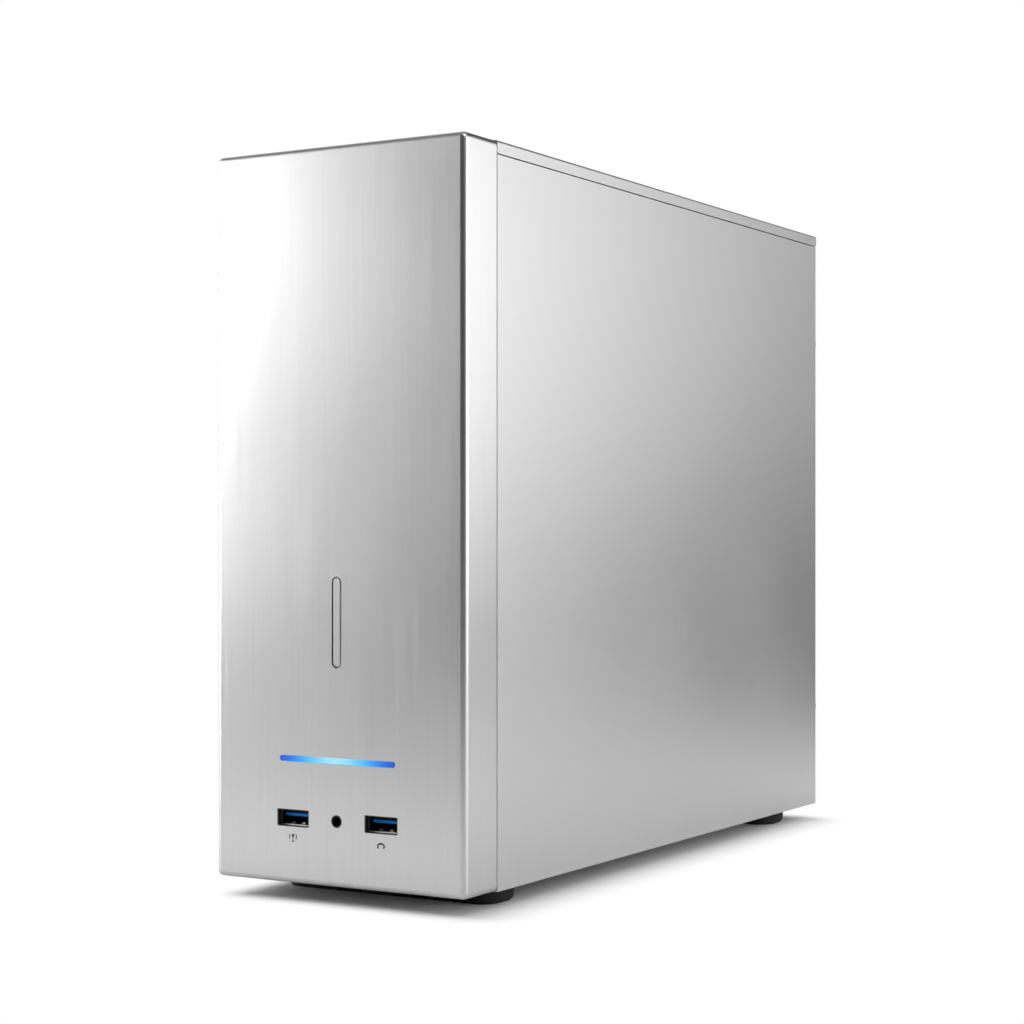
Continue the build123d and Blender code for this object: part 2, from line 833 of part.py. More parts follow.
def board_screws():
    """Screws through the main board into its posts."""
    screws = []
    for spot in board_screw_places():
        hexagon = Pos(spot.X, spot.Y) * RegularPolygon(screw_head_radius, 6)
        head = along_x(hexagon, x_board - screw_head_height, x_board)
        screws.append(head + rod_x(x_board, x_tray - 2 * sheet, spot.X, spot.Y, screw_radius))
    return Compound(children=screws)


def motherboard():
    """The bare main board."""
    board = block(x_board, x_board + board_thickness, y_board - board_size, y_board, z_board,
                  z_board + board_size)
    for spot in board_screw_places():
        board -= rod_x(x_board, x_board + board_thickness, spot.X, spot.Y, screw_radius + fit_gap)
    return board


def port_block(z, width, height, depth):
    """The outer block of a rear socket that stands on the board's rear edge."""
    middle = z_board + z
    return block(x_board - height, x_board, y_board - depth, y_rear, middle - width / 2, middle + width / 2)


def port_hollow(z, width, x0, x1, depth):
    """The space in a rear socket, open to the rear."""
    return block(x0, x1, y_rear - depth, y_rear, z_board + z - width / 2, z_board + z + width / 2)


def port_tongue(z, width, x, thickness):
    """The tongue in a rear socket, from the end of its hollow to just inside the mouth."""
    return block(x - thickness / 2, x + thickness / 2, y_rear - socket_depth, y_rear - usb_tongue_setback,
                 z_board + z - width / 2, z_board + z + width / 2)


def usb_stack_places():
    """Where the rear USB stacks stand."""
    return [usb_stack_z + index * usb_stack_pitch for index in range(2)]


def display_places():
    """Where the display sockets stand."""
    return [display_z + index * display_pitch for index in range(2)]


def rear_usb_ports():
    """Two stacks of two sockets, each with its tongue."""
    stacks = []
    width = usb_stack_width - 2 * port_wall
    half = usb_stack_tier / 2 - port_wall
    for z in usb_stack_places():
        stack = port_block(z, usb_stack_width, usb_stack_height, usb_stack_depth)
        for tier in range(2):
            x = x_board - (tier + 0.5) * usb_stack_tier
            stack -= port_hollow(z, width, x - half, x + half, socket_depth)
            stack += port_tongue(z, usb_tongue_width, x - usb_tongue_rise, usb_tongue_thickness)
        stacks.append(stack)
    return Compound(children=stacks)


def rear_network_port():
    """A network socket with a step for the plug's catch."""
    port = port_block(network_z, network_width, network_height, network_depth)
    x = x_board - network_height / 2
    half = network_mouth_height / 2
    port -= port_hollow(network_z, network_mouth_width, x - half, x + half, socket_depth)
    catch = x_board - network_height + port_wall
    return port - port_hollow(network_z, network_catch_width, catch, x, socket_depth)


def rear_display_ports():
    """Two display sockets, each a flat opening with a tongue."""
    ports = []
    half = display_opening_height / 2
    for z in display_places():
        port = port_block(z, display_width, display_height, display_depth)
        x = x_board - display_height / 2
        port -= port_hollow(z, display_opening_width, x - half, x + half, socket_depth)
        ports.append(port + port_tongue(z, display_tongue_width, x, display_tongue_thickness))
    return Compound(children=ports)


def audio_places():
    """The axes of the rear audio jacks, one above another off the board."""
    return [x_board - (index + 0.5) * audio_pitch for index in range(3)]


def rear_audio_jacks():
    """Three jacks side by side, each a block with a round collar."""
    block_end = y_inside - shield_sheet - port_gap
    half = audio_pitch / 2 - fit_gap
    z = z_board + audio_z
    jacks = []
    for x in audio_places():
        jack = block(x - half, x + half, y_board - audio_depth, block_end,
                     z - audio_width / 2, z + audio_width / 2)
        jack += rod_y(x, block_end - port_wall, y_rear, z, audio_collar_radius)
        jacks.append(jack - rod_y(x, y_rear - socket_depth, y_rear, z, jack_bore_radius))
    return Compound(children=jacks)


def port_shield():
    """The thin plate round the rear sockets, with a rim that holds it behind the rear wall."""
    high = z_shield + shield_height
    plate = block(x_shield - shield_width + fit_gap, x_shield - fit_gap, y_inside - shield_sheet, y_shield,
                  z_shield + fit_gap, high - fit_gap)
    plate -= block(x_shield - shield_width + shield_rim, x_shield - shield_rim, y_inside - shield_sheet,
                   y_shield - shield_sheet, z_shield + shield_rim, high - shield_rim)
    rim = block(x_shield - shield_width - shield_rim, x_shield + shield_rim, y_inside - shield_sheet,
                y_inside, z_shield - shield_rim, high + shield_rim)
    plate += rim - block(x_shield - shield_width + shield_rim, x_shield - shield_rim, y_inside - shield_sheet,
                         y_inside, z_shield + shield_rim, high - shield_rim)
    cuts = [(z, usb_stack_width, usb_stack_height) for z in usb_stack_places()]
    cuts += [(z, display_width, display_height) for z in display_places()]
    cuts.append((network_z, network_width, network_height))
    for z, width, height in cuts:
        plate -= block(x_board - height - port_gap, x_board + port_gap, y_inside - 2 * sheet, y_rear,
                       z_board + z - width / 2 - port_gap, z_board + z + width / 2 + port_gap)
    for x in audio_places():
        plate -= rod_y(x, y_inside - 2 * sheet, y_rear, z_board + audio_z, audio_collar_radius + port_gap)
    return plate


def processor_socket():
    """The processor's socket, with the processor's lid on it."""
    body = on_board(cooler_y, cooler_z, socket_size, socket_size, 0, socket_height - 2 * sheet)
    lid = socket_size - 8 * sheet
    return body + on_board(cooler_y, cooler_z, lid, lid, 0, socket_height)


def cooler_heatsink():
    """A finned block on the processor with four posts to the board."""
    top = socket_height + cooler_base
    sink = on_board(cooler_y, cooler_z, cooler_size, cooler_size, socket_height, top)
    pitch = (cooler_size - cooler_fin) / (cooler_fins - 1)
    for place in GridLocations(pitch, 1, cooler_fins, 1):
        sink += on_board(cooler_y + place.position.X, cooler_z, cooler_fin, cooler_size, socket_height,
                         top + cooler_fin_height)
    post_pitch = cooler_size - 2 * cooler_post_inset
    for place in GridLocations(post_pitch, post_pitch, 2, 2):
        spot = place.position
        sink += rod_x(x_board, x_board - top, y_board - cooler_y + spot.X, z_board + cooler_z + spot.Y,
                      cooler_post_radius)
    return sink


def fan_frame(depth, size):
    """A square fan frame about Z with a round duct, and a motor base on struts at the bottom."""
    bore = size / 2 - fan_margin
    outline = RectangleRounded(size, size, fan_corner) - Circle(bore)
    outline -= [place * Circle(fan_hole_radius) for place in fan_holes(size)]
    frame = along_z(outline, 0, depth)
    frame += along_z(Circle(fan_hub_radius), 0, fan_base)
    strut = Rectangle(bore - fan_hub_radius + 2 * strut_root, fan_strut_width)
    strut = Pos((fan_hub_radius + bore) / 2, 0) * strut
    for place in PolarLocations(0, fan_struts, start_angle=45):
        frame += along_z(place * strut, 0, fan_base)
    tube_end = depth - rotor_gap - cup_wall - rotor_gap
    frame += along_z(Circle(shaft_radius + shaft_gap + bearing_wall), 0, tube_end)
    return frame - along_z(Circle(shaft_radius + shaft_gap), fan_base / 2, tube_end)


def fan_rotor(depth, size):
    """A fan rotor about Z: a cup with a shaft inside it, and blades that twist towards their tips."""
    low = fan_base + rotor_gap
    high = depth - rotor_gap
    middle = (low + high) / 2
    rise = high - low - 2 * blade_thickness
    tip = size / 2 - fan_margin - blade_gap
    rotor = along_z(Circle(fan_hub_radius), low, high)
    rotor -= along_z(Circle(fan_hub_radius - cup_wall), low, high - cup_wall)
    rotor += along_z(Circle(shaft_radius), fan_base, high)

    def section(radius, width):
        plane = Plane(origin=(radius, 0, middle), x_dir=(0, 1, 0), z_dir=(1, 0, 0))
        length = sqrt(width ** 2 + rise ** 2)
        return plane * Rot(0, 0, degrees(atan2(rise, width))) * Rectangle(length, blade_thickness)

    root = section(fan_hub_radius - cup_wall / 2, blade_root)
    reach = sqrt(tip ** 2 - (blade_tip / 2) ** 2)
    blade = loft([root, section(reach, blade_tip)], ruled=True)
    for place in PolarLocations(0, fan_blades):
        rotor += place * blade
    return rotor


def on_front(part):
    """A fan set on the back of the front plate, blowing inwards."""
    return Pos(0, y_bay + front_fan_depth, z_fan) * Rot(90, 0, 0) * part


def on_cooler(part):
    """A fan set on the heatsink, blowing towards the board."""
    x = x_board - socket_height - cooler_base - cooler_fin_height
    return Pos(x, y_board - cooler_y, z_board + cooler_z) * Rot(0, -90, 0) * part


def in_psu(part):
    """A fan set on the supply's lower cover, drawing air up."""
    return Pos(0, y_inside - psu_fan_y, z_psu + psu_sheet + slim_fan_depth) * Rot(180, 0, 0) * part


def memory_slot_ys():
    """Where the memory slots stand, from the board's rear edge."""
    return [memory_slot_y + offset * memory_slot_pitch / 2 for offset in sides]


def memory_slots():
    """Two memory slots, each grooved for a module and notched for the latch at its upper end."""
    slots = []
    for y in memory_slot_ys():
        z = memory_slot_z + memory_slot_length / 2
        slot = on_board(y, z, memory_slot_width, memory_slot_length, 0, memory_slot_height)
        slot -= on_board(y, z, module_thickness + 2 * fit_gap, module_length + 2 * fit_gap, module_seat,
                         memory_slot_height)
        top = memory_slot_z + memory_slot_length
        ear = on_board(y, top + latch_length / 2, memory_slot_width, latch_length, 0, memory_slot_height)
        gap = memory_slot_width - 2 * latch_cheek
        ear -= on_board(y, top + latch_length / 2, gap, latch_length, module_seat / 2, memory_slot_height)
        ear -= latch_pin(y, latch_pin_radius + shaft_gap, memory_slot_width)
        slots.append(slot + ear)
    return Compound(children=slots)


def latch_pin(y, radius, length):
    """The pin that a memory latch turns on."""
    x, z = latch_axis()
    return Pos(x, y_board - y, z) * Rot(90, 0, 0) * Cylinder(radius, length)


def latch_axis():
    """Where the latch pins lie."""
    z = z_board + memory_slot_z + memory_slot_length + latch_length / 2
    return x_board - memory_slot_height / 2 - module_seat / 4, z


def memory_latch(y):
    """A latch that swings out from the end of a memory slot."""
    width = memory_slot_width - 2 * (latch_cheek + latch_gap)
    x, z = latch_axis()
    half = latch_length / 2 - latch_gap
    y0 = y_board - y - width / 2
    y1 = y_board - y + width / 2
    lever = block(x, x_board - latch_height, y0, y1, z - half, z + half)
    lever += Pos(x, y_board - y, z) * Rot(90, 0, 0) * Cylinder(half, width)
    module_end = z_board + memory_slot_z + (memory_slot_length + module_length) / 2
    lever += block(x_board - latch_height, x_board - memory_slot_height - latch_gap, y0, y1,
                   module_end + latch_gap, z)
    return lever + latch_pin(y, latch_pin_radius, memory_slot_width - 2 * shaft_gap)


def memory_modules():
    """Two memory modules with a row of chips on each side."""
    modules = []
    for y in memory_slot_ys():
        z = memory_slot_z + memory_slot_length / 2
        top = module_seat + module_height
        module = on_board(y, z, module_thickness, module_length, module_seat, top)
        pitch = module_length / chip_count
        thick = module_thickness + 2 * chip_thickness
        low = memory_slot_height + chip_length / 2
        for place in GridLocations(pitch, 1, chip_count, 1):
            module += on_board(y, z + place.position.X, thick, chip_length, low, low + chip_length)
        modules.append(module)
    return Compound(children=modules)


def expansion_slot():
    """The card slot at the lower edge of the board."""
    y = expansion_y + expansion_length / 2
    slot = on_board(y, expansion_z, expansion_length, expansion_width, 0, expansion_height)
    groove = expansion_length - 2 * expansion_end
    return slot - on_board(y, expansion_z, groove, expansion_groove, module_seat, expansion_height)


def board_power_socket():
    """The board's main power socket."""
    return on_board(power_socket_y, power_socket_z + power_socket_length / 2, power_socket_width,
                    power_socket_length, 0, power_socket_height)


def chipset_heatsink():
    """A small finned heatsink near the card slot."""
    sink = on_board(chipset_y, chipset_z, chipset_size, chipset_size, 0, chipset_height / 3)
    fin = chipset_size / (2 * chipset_fins - 1)
    for place in GridLocations(2 * fin, 1, chipset_fins, 1):
        sink += on_board(chipset_y + place.position.X, chipset_z, fin, chipset_size, 0, chipset_height)
    return sink


def psu_case():
    """The supply's box, open below: rear openings for inlet, switch and air, a cable hole in front."""
    half = psu_width / 2
    case = block(-half, half, y_psu, y_inside, z_psu, z_psu + psu_height)
    case -= block(-half + psu_sheet, half - psu_sheet, y_psu + psu_sheet, y_inside - psu_sheet,
                  z_psu, z_psu + psu_height - psu_sheet)
    z = inlet_z()
    case -= block(inlet_x - inlet_width / 2, inlet_x + inlet_width / 2, y_inside - psu_sheet, y_inside,
                  z - inlet_height / 2, z + inlet_height / 2)
    width = rocker_width + 2 * rocker_gap + 2 * rocker_wall
    length = rocker_length + 2 * rocker_play + 2 * rocker_wall
    case -= block(switch_x - width / 2, switch_x + width / 2, y_inside - psu_sheet, y_inside,
                  z - length / 2, z + length / 2)
    for x, zz in psu_screw_places():
        case -= rod_y(x, y_inside - psu_sheet, y_inside, zz, screw_radius + fit_gap)
    low = z_psu + psu_window_edge + vent_bar / 2
    high = z - length / 2 - vent_bar / 2
    window = 2 * psu_window - vent_bar
    rows = count_in(high - low, vent_pitch)
    slots = [place * Rectangle(window, vent_slot) for place in GridLocations(1, vent_pitch, 1, rows)]
    case -= along_y(Pos(0, (low + high) / 2) * (Sketch() + slots), y_inside - psu_sheet, y_inside)
    return case - rod_y(harness_x, y_psu, y_psu + psu_sheet, z_psu + harness_drop, harness_radius + rail_gap)


def inlet_z():
    """The height of the inlet and of the switch beside it."""
    return z_psu + psu_height - psu_window_edge - inlet_drop


def psu_cover():
    """The supply's lower cover, with a slotted grille under its fan."""
    half = psu_width / 2 - psu_sheet - fit_gap
    inset = psu_sheet + fit_gap
    cover = block(-half, half, y_psu + inset, y_inside - inset, z_psu, z_psu + psu_sheet)
    grille = Pos(0, y_inside - psu_fan_y) * round_grille(psu_fan_size)
    return cover - along_z(grille, z_psu, z_psu + psu_sheet)


def psu_inlet():
    """The mains inlet: a flanged block with a hooded space and three blades."""
    z = inlet_z()
    half = inlet_width / 2 - fit_gap
    body = block(inlet_x - half, inlet_x + half, y_inside - inlet_depth, y_inside,
                 z - inlet_height / 2 + fit_gap, z + inlet_height / 2 - fit_gap)
    rim = inlet_flange
    face = y_inside + inlet_flange_thickness
    body += block(inlet_x - inlet_width / 2 - rim, inlet_x + inlet_width / 2 + rim, y_inside, face,
                  z - inlet_height / 2 - rim, z + inlet_height / 2 + rim)
    mouth = Rectangle(inlet_mouth_width, inlet_mouth_height)
    mouth = chamfer(mouth.vertices().sort_by(Axis.Y)[-2:], inlet_chamfer)
    body -= along_y(Pos(inlet_x, z) * mouth, face - inlet_mouth_depth, face)
    for step, rise in ((-1, -1), (0, 1), (1, -1)):
        x = inlet_x + step * inlet_pin_pitch
        zz = z + rise * inlet_pin_height / 2
        body += block(x - inlet_pin_width / 2, x + inlet_pin_width / 2, face - inlet_mouth_depth,
                      face - inlet_mouth_depth + inlet_pin_length, zz - inlet_pin_height / 2,
                      zz + inlet_pin_height / 2)
    return body


def rocker_axis():
    """Where the rocker switch turns, front to rear and up."""
    return y_inside + inlet_flange_thickness - rocker_pivot, inlet_z()


def psu_switch():
    """The housing of the rocker switch."""
    width = rocker_width + 2 * rocker_gap
    length = rocker_length + 2 * rocker_play
    y, z = rocker_axis()
    face = y_inside + inlet_flange_thickness
    outer_x = width / 2 + rocker_wall - fit_gap
    outer_z = length / 2 + rocker_wall - fit_gap
    body = block(switch_x - outer_x, switch_x + outer_x, y_inside - switch_depth, y_inside,
                 z - outer_z, z + outer_z)
    body += block(switch_x - outer_x - inlet_flange, switch_x + outer_x + inlet_flange, y_inside, face,
                  z - outer_z - inlet_flange, z + outer_z + inlet_flange)
    body -= block(switch_x - width / 2, switch_x + width / 2, y - rocker_back - 2 * rocker_play, face,
                  z - length / 2, z + length / 2)
    reach = width / 2 - rocker_gap + rocker_pin_reach + fit_gap
    return body - rod_x(switch_x - reach, switch_x + reach, y, z, rocker_pin_radius + shaft_gap)


def psu_rocker():
    """The rocker of the mains switch, tipped to one side."""
    y, z = rocker_axis()
    half = rocker_length / 2
    crest = rocker_pivot + rocker_rise - rocker_dish
    profile = make_face(Polyline((-rocker_back, -half), (crest, -half), (rocker_pivot - rocker_dish / 2, 0),
                                 (crest, half), (-rocker_back, half), close=True))
    rocker = along_x(profile, -rocker_width / 2, rocker_width / 2)
    reach = rocker_width / 2 + rocker_pin_reach
    rocker += rod_x(-reach, reach, 0, 0, rocker_pin_radius)
    return Pos(switch_x, y, z) * Rot(rocker_tilt, 0, 0) * rocker


def drive_corner():
    """The front lower corner of the drive on the tray."""
    return y_bay + drive_setback, z_floor + drive_foot


def drive():
    """A flat drive with softened edges."""
    y, z = drive_corner()
    body = block(x_tray - sheet - drive_thickness, x_tray - sheet, y, y + drive_width, z, z + drive_length)
    return fillet(body.edges().filter_by(Axis.X), 2 * fold_radius)


def drive_bracket():
    """A shallow tray on the board tray that holds the drive by its long edges."""
    y, z = drive_corner()
    low = y - sheet - fit_gap
    high = y + drive_width + sheet + fit_gap
    bracket = block(x_tray - sheet, x_tray, low, high, z, z + drive_length)
    for y0, y1 in ((low, low + sheet), (high - sheet, high)):
        bracket += block(x_tray - sheet - bracket_flange, x_tray, y0, y1, z + bracket_end,
                         z + drive_length - bracket_end)
    return bracket


def tube(points, bend, radius):
    """A round cable along straight runs joined by arcs."""
    path = FilletPolyline(*points, radius=bend)
    return sweep(Plane(origin=path @ 0, z_dir=path % 0) * Circle(radius), path=path)


def power_harness():
    """The bundle from the supply to the board's power socket, with its plug."""
    y = y_board - power_socket_y
    z = z_board + power_socket_z + power_socket_length / 2
    top = power_socket_height + plug_height
    plug = on_board(power_socket_y, power_socket_z + power_socket_length / 2, power_socket_width,
                    power_socket_length, power_socket_height, top)
    high = z_psu + harness_drop
    points = [(harness_x, y_psu + harness_radius, high), (harness_x, y_psu - harness_forward, high),
              (harness_x, y_psu - harness_forward, z), (harness_x, y, z), (x_board - top + fit_gap, y, z)]
    return plug + tube(points, harness_bend, harness_radius)


def front_cable():
    """The lead from the front board through the front plate to a header on the main board."""
    z = z_base + front_cable_height
    y = y_board - front_cable_y
    plug = on_board(front_cable_y, z - z_board, header_size, header_size, 0, header_height)
    end = x_board - header_height + fit_gap
    turn = end - front_cable_slack
    points = [(front_cable_x, y_front_board + board_thickness, z),
              (front_cable_x, y_bay + front_cable_run, z),
              (front_cable_x + 1, (y_bay + y) / 2, z - front_cable_sag),
              (front_cable_x + 7, y - front_cable_slack, z - front_cable_sag / 2), (turn, y, z), (end, y, z)]
    return plug + tube(points, front_cable_bend, front_cable_radius)


def parts():
    """Each piece of the tower under its name."""
    front_foot_y, rear_foot_y = foot_centres()
    latch_ys = memory_slot_ys()
    return {
        "front_bezel": front_bezel(),
        "power_button": power_button(),
        "switch_plunger": switch_plunger(),
        "power_switch": power_switch(),
        "light_bar": light_bar(),
        "front_board": front_board(),
        "port_frame": port_frame(),
        "front_usb_left": usb_shell(-1),
        "front_usb_right": usb_shell(1),
        "usb_tongue_left": usb_tongue(-1),
        "usb_tongue_right": usb_tongue(1),
        "front_audio_jack": front_audio_jack(),
        "base_pan": base_pan(),
        "front_plate": front_plate(),
        "rear_panel": rear_panel(),
        "top_rail_left": top_rail(-1),
        "top_rail_right": top_rail(1),
        "top_cover": top_cover(),
        "left_side_panel": side_panel(-1),
        "right_side_panel": side_panel(1),
        "left_thumbscrews": thumbscrews(-1),
        "right_thumbscrews": thumbscrews(1),
        "front_foot": foot(front_foot_y),
        "rear_foot": foot(rear_foot_y),
        "foot_screws": foot_screws(),
        "rear_screws": rear_screws(),
        "slot_cover": slot_cover(),
        "motherboard_tray": motherboard_tray(),
        "motherboard": motherboard(),
        "board_standoffs": board_standoffs(),
        "board_screws": board_screws(),
        "port_shield": port_shield(),
        "rear_usb_ports": rear_usb_ports(),
        "rear_network_port": rear_network_port(),
        "rear_display_ports": rear_display_ports(),
        "rear_audio_jacks": rear_audio_jacks(),
        "processor_socket": processor_socket(),
        "cooler_heatsink": cooler_heatsink(),
        "cooler_fan_frame": on_cooler(fan_frame(slim_fan_depth, fan_size)),
        "cooler_fan_rotor": on_cooler(fan_rotor(slim_fan_depth, fan_size)),
        "memory_slots": memory_slots(),
        "memory_modules": memory_modules(),
        "memory_latch_front": memory_latch(latch_ys[1]),
        "memory_latch_back": memory_latch(latch_ys[0]),
        "expansion_slot": expansion_slot(),
        "board_power_socket": board_power_socket(),
        "chipset_heatsink": chipset_heatsink(),
        "psu_case": psu_case(),
        "psu_cover": psu_cover(),
        "psu_fan_frame": in_psu(fan_frame(slim_fan_depth, psu_fan_size)),
        "psu_fan_rotor": in_psu(fan_rotor(slim_fan_depth, psu_fan_size)),
        "psu_inlet": psu_inlet(),
        "psu_switch": psu_switch(),
        "psu_rocker": psu_rocker(),
        "front_fan_frame": on_front(fan_frame(front_fan_depth, fan_size)),
        "front_fan_rotor": on_front(fan_rotor(front_fan_depth, fan_size)),
        "drive": drive(),
        "drive_bracket": drive_bracket(),
        "power_harness": power_harness(),
        "front_cable": front_cable(),
    }


def main():
    """Write each piece to its own file."""
    os.makedirs("parts", exist_ok=True)
    for name, shape in parts().items():
        export_step(shape, os.path.join("parts", name + ".step"))


if __name__ == "__main__":
    main()
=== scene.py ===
import bpy
import bmesh
import json
from math import cos, pi, radians, sin, tau
from mathutils import Matrix, Vector


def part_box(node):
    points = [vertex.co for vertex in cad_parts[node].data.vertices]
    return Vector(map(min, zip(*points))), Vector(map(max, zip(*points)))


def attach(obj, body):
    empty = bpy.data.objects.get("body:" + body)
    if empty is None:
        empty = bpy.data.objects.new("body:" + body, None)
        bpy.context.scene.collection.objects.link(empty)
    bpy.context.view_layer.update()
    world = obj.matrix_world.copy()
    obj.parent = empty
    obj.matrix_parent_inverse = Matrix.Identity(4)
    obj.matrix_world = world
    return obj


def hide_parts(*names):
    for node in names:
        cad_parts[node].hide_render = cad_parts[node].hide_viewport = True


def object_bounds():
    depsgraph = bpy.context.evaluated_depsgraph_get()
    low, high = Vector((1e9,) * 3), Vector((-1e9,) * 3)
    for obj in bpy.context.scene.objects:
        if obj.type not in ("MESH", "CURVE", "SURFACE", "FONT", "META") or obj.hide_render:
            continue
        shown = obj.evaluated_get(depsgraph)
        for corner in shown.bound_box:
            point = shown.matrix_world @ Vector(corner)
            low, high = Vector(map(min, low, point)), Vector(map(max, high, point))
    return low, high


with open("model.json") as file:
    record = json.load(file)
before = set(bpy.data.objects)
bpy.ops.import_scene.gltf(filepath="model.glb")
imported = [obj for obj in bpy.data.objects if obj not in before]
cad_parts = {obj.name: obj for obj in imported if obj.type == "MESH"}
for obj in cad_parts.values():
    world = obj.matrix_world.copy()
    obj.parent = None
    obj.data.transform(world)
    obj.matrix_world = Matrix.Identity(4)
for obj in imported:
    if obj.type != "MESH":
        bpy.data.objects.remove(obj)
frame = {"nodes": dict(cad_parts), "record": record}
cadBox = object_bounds()
nodes = frame["nodes"]


class Value:  # a socket that takes part in sums
    def __init__(self, finish, socket):
        self.finish = finish
        self.socket = socket

    def maths(self, operation, *terms):
        return self.finish.add("ShaderNodeMath", {"operation": operation}, dict(enumerate(terms)))

    def __add__(self, other):
        return self.maths("ADD", self, other)

    def __radd__(self, other):
        return self.maths("ADD", other, self)

    def __sub__(self, other):
        return self.maths("SUBTRACT", self, other)

    def __rsub__(self, other):
        return self.maths("SUBTRACT", other, self)

    def __mul__(self, other):
        return self.maths("MULTIPLY", self, other)

    def __rmul__(self, other):
        return self.maths("MULTIPLY", other, self)

    def __truediv__(self, other):
        return self.maths("DIVIDE", self, other)

    def __rtruediv__(self, other):
        return self.maths("DIVIDE", other, self)

    def __pow__(self, other):
        return self.maths("POWER", self, other)

    def __gt__(self, other):
        return self.maths("GREATER_THAN", self, other)

    def __lt__(self, other):
        return self.maths("LESS_THAN", self, other)

    def __abs__(self):
        return self.maths("ABSOLUTE", self)

    def near(self, middle, reach):  # 1 within reach of a value, else 0
        return abs(self - middle) < reach

    def largest(self, other):
        return self.maths("MAXIMUM", self, other)

    def wave(self):
        return self.maths("SINE", self)

    def about(self, middle, swing):  # a map that wanders about a value
        return middle + (self - 0.5) * swing

    def smooth(self, low, high):  # 0 below low, 1 above high
        return self.finish.add("ShaderNodeMapRange", {"interpolation_type": "SMOOTHSTEP"},
                               {0: self, 1: low, 2: high})


class Finish:  # one material on the standard surface shader
    def __init__(self, name, tree=None):
        if tree is None:
            self.material = bpy.data.materials.new(name)
            self.material.use_nodes = True
            tree = self.material.node_tree
        self.tree = tree
        self.shader = tree.nodes.get("Principled BSDF")

    def add(self, kind, settings=None, sockets=None, output=0):  # any node
        node = self.tree.nodes.new(kind)
        for key, value in (settings or {}).items():
            if key == "stops":
                self.setStops(node.color_ramp.elements, value)
            else:
                setattr(node, key, value)
        for key, value in (sockets or {}).items():
            self.plug(node.inputs[key], value)
        return Value(self, node.outputs[output])

    def setStops(self, elements, stops):
        while len(elements) < len(stops):
            elements.new(1)
        for element, (place, colour) in zip(elements, stops):
            element.position = place
            element.color = (*colour, 1)

    def plug(self, socket, value):
        if isinstance(value, Value):
            self.tree.links.new(value.socket, socket)
        elif socket.type == "RGBA":
            socket.default_value = (*value, 1)
        else:
            socket.default_value = value

    def set(self, sockets):
        for key, value in sockets.items():
            self.plug(self.shader.inputs[key], value)
        return self

    def place(self):  # where a point is in the part, in metres
        return self.add("ShaderNodeTexCoord", output=3)

    def axes(self):
        parts = self.add("ShaderNodeSeparateXYZ", None, {0: self.place()})
        outputs = parts.socket.node.outputs
        return [Value(self, outputs[index]) for index in range(3)]

    def rays(self, *kinds):
        outputs = self.add("ShaderNodeLightPath").socket.node.outputs
        return [Value(self, outputs["Is " + kind + " Ray"]) for kind in kinds]

    def stretched(self, scale):  # patches to the metre, one number or along X, Y, Z
        along = scale if isinstance(scale, tuple) else (scale, scale, scale)
        return self.add("ShaderNodeVectorMath", {"operation": "MULTIPLY"}, {0: self.place(), 1: along})

    def noise(self, scale, detail=3.0, rough=0.55):
        sockets = {"Vector": self.stretched(scale), "Scale": 1.0, "Detail": detail, "Roughness": rough}
        return self.add("ShaderNodeTexNoise", None, sockets)

    def cells(self, scale, output=0):
        sockets = {"Vector": self.stretched(scale), "Scale": 1.0}
        return self.add("ShaderNodeTexVoronoi", None, sockets, output)

    def ramp(self, value, stops):
        return self.add("ShaderNodeValToRGB", {"stops": stops}, {0: value})

    def tones(self, value, dark, light, low=0.3):  # two colours, evenly about the middle of a map
        return self.ramp(value, [(low, dark), (1 - low, light)])

    def mix(self, share, first, second):
        return self.add("ShaderNodeMix", {"data_type": "RGBA"}, {0: share, 6: first, 7: second}, 2)

    def bump(self, height, depth):
        return self.add("ShaderNodeBump", None, {"Height": height, "Distance": depth, "Strength": 1.0})


def grey(level):
    return (level, level, level)


def scaled(colour, factor):
    return tuple(min(1, v * factor) for v in colour)


def srgb(*levels):  # a screen colour as the renderer counts it
    return tuple(((v / 255 + 0.055) / 1.055) ** 2.4 if v > 10 else v / 255 / 12.92 for v in levels)


def sheetMetal(name, tone, rough, streaks, spread, grain):  # rolled or brushed: long streaks over a fine grain
    metal = Finish(name)
    streak, fine, cloud = metal.noise(streaks, 4.0, 0.6), metal.noise(5200, 2.0), metal.noise(14, 2.0)
    dark, light = grey(tone * (1 - spread)), grey(min(1, tone * (1 + spread)))
    metal.set({"Base Color": metal.tones(streak * 0.7 + fine * 0.3, dark, light, 0.25), "Metallic": 1.0,
               "Roughness": cloud.about(streak.about(rough, 0.1), 0.06),
               "Normal": metal.bump(streak * 0.6 + fine * 0.4, grain)})
    return metal.material


def zincSheet(name, tone, rough):  # zinc coating: faint crystals with a different gloss each
    zinc = Finish(name)
    crystal = zinc.add("ShaderNodeSeparateColor", None, {0: zinc.cells(210, output=1)})
    fine = zinc.noise(2600)
    shade = zinc.tones(crystal * 0.6 + fine * 0.4, grey(tone * 0.95), grey(tone * 1.04), 0.2)
    zinc.set({"Base Color": shade, "Metallic": 1.0, "Roughness": crystal.about(rough, 0.05),
              "Normal": zinc.bump(fine, 0.00002)})
    return zinc.material


def mouldedPlastic(name, colour, rough, grain=0.00003, size=2400):  # spark-eroded grain with faint flow marks
    plastic = Finish(name)
    pits, flow = plastic.noise(size), plastic.noise(90)
    shade = plastic.tones(flow * 0.6 + pits * 0.4, scaled(colour, 0.82), scaled(colour, 1.16))
    plastic.set({"Base Color": shade, "Roughness": pits.about(rough, 0.16),
                 "Normal": plastic.bump(pits, grain)})
    return plastic.material


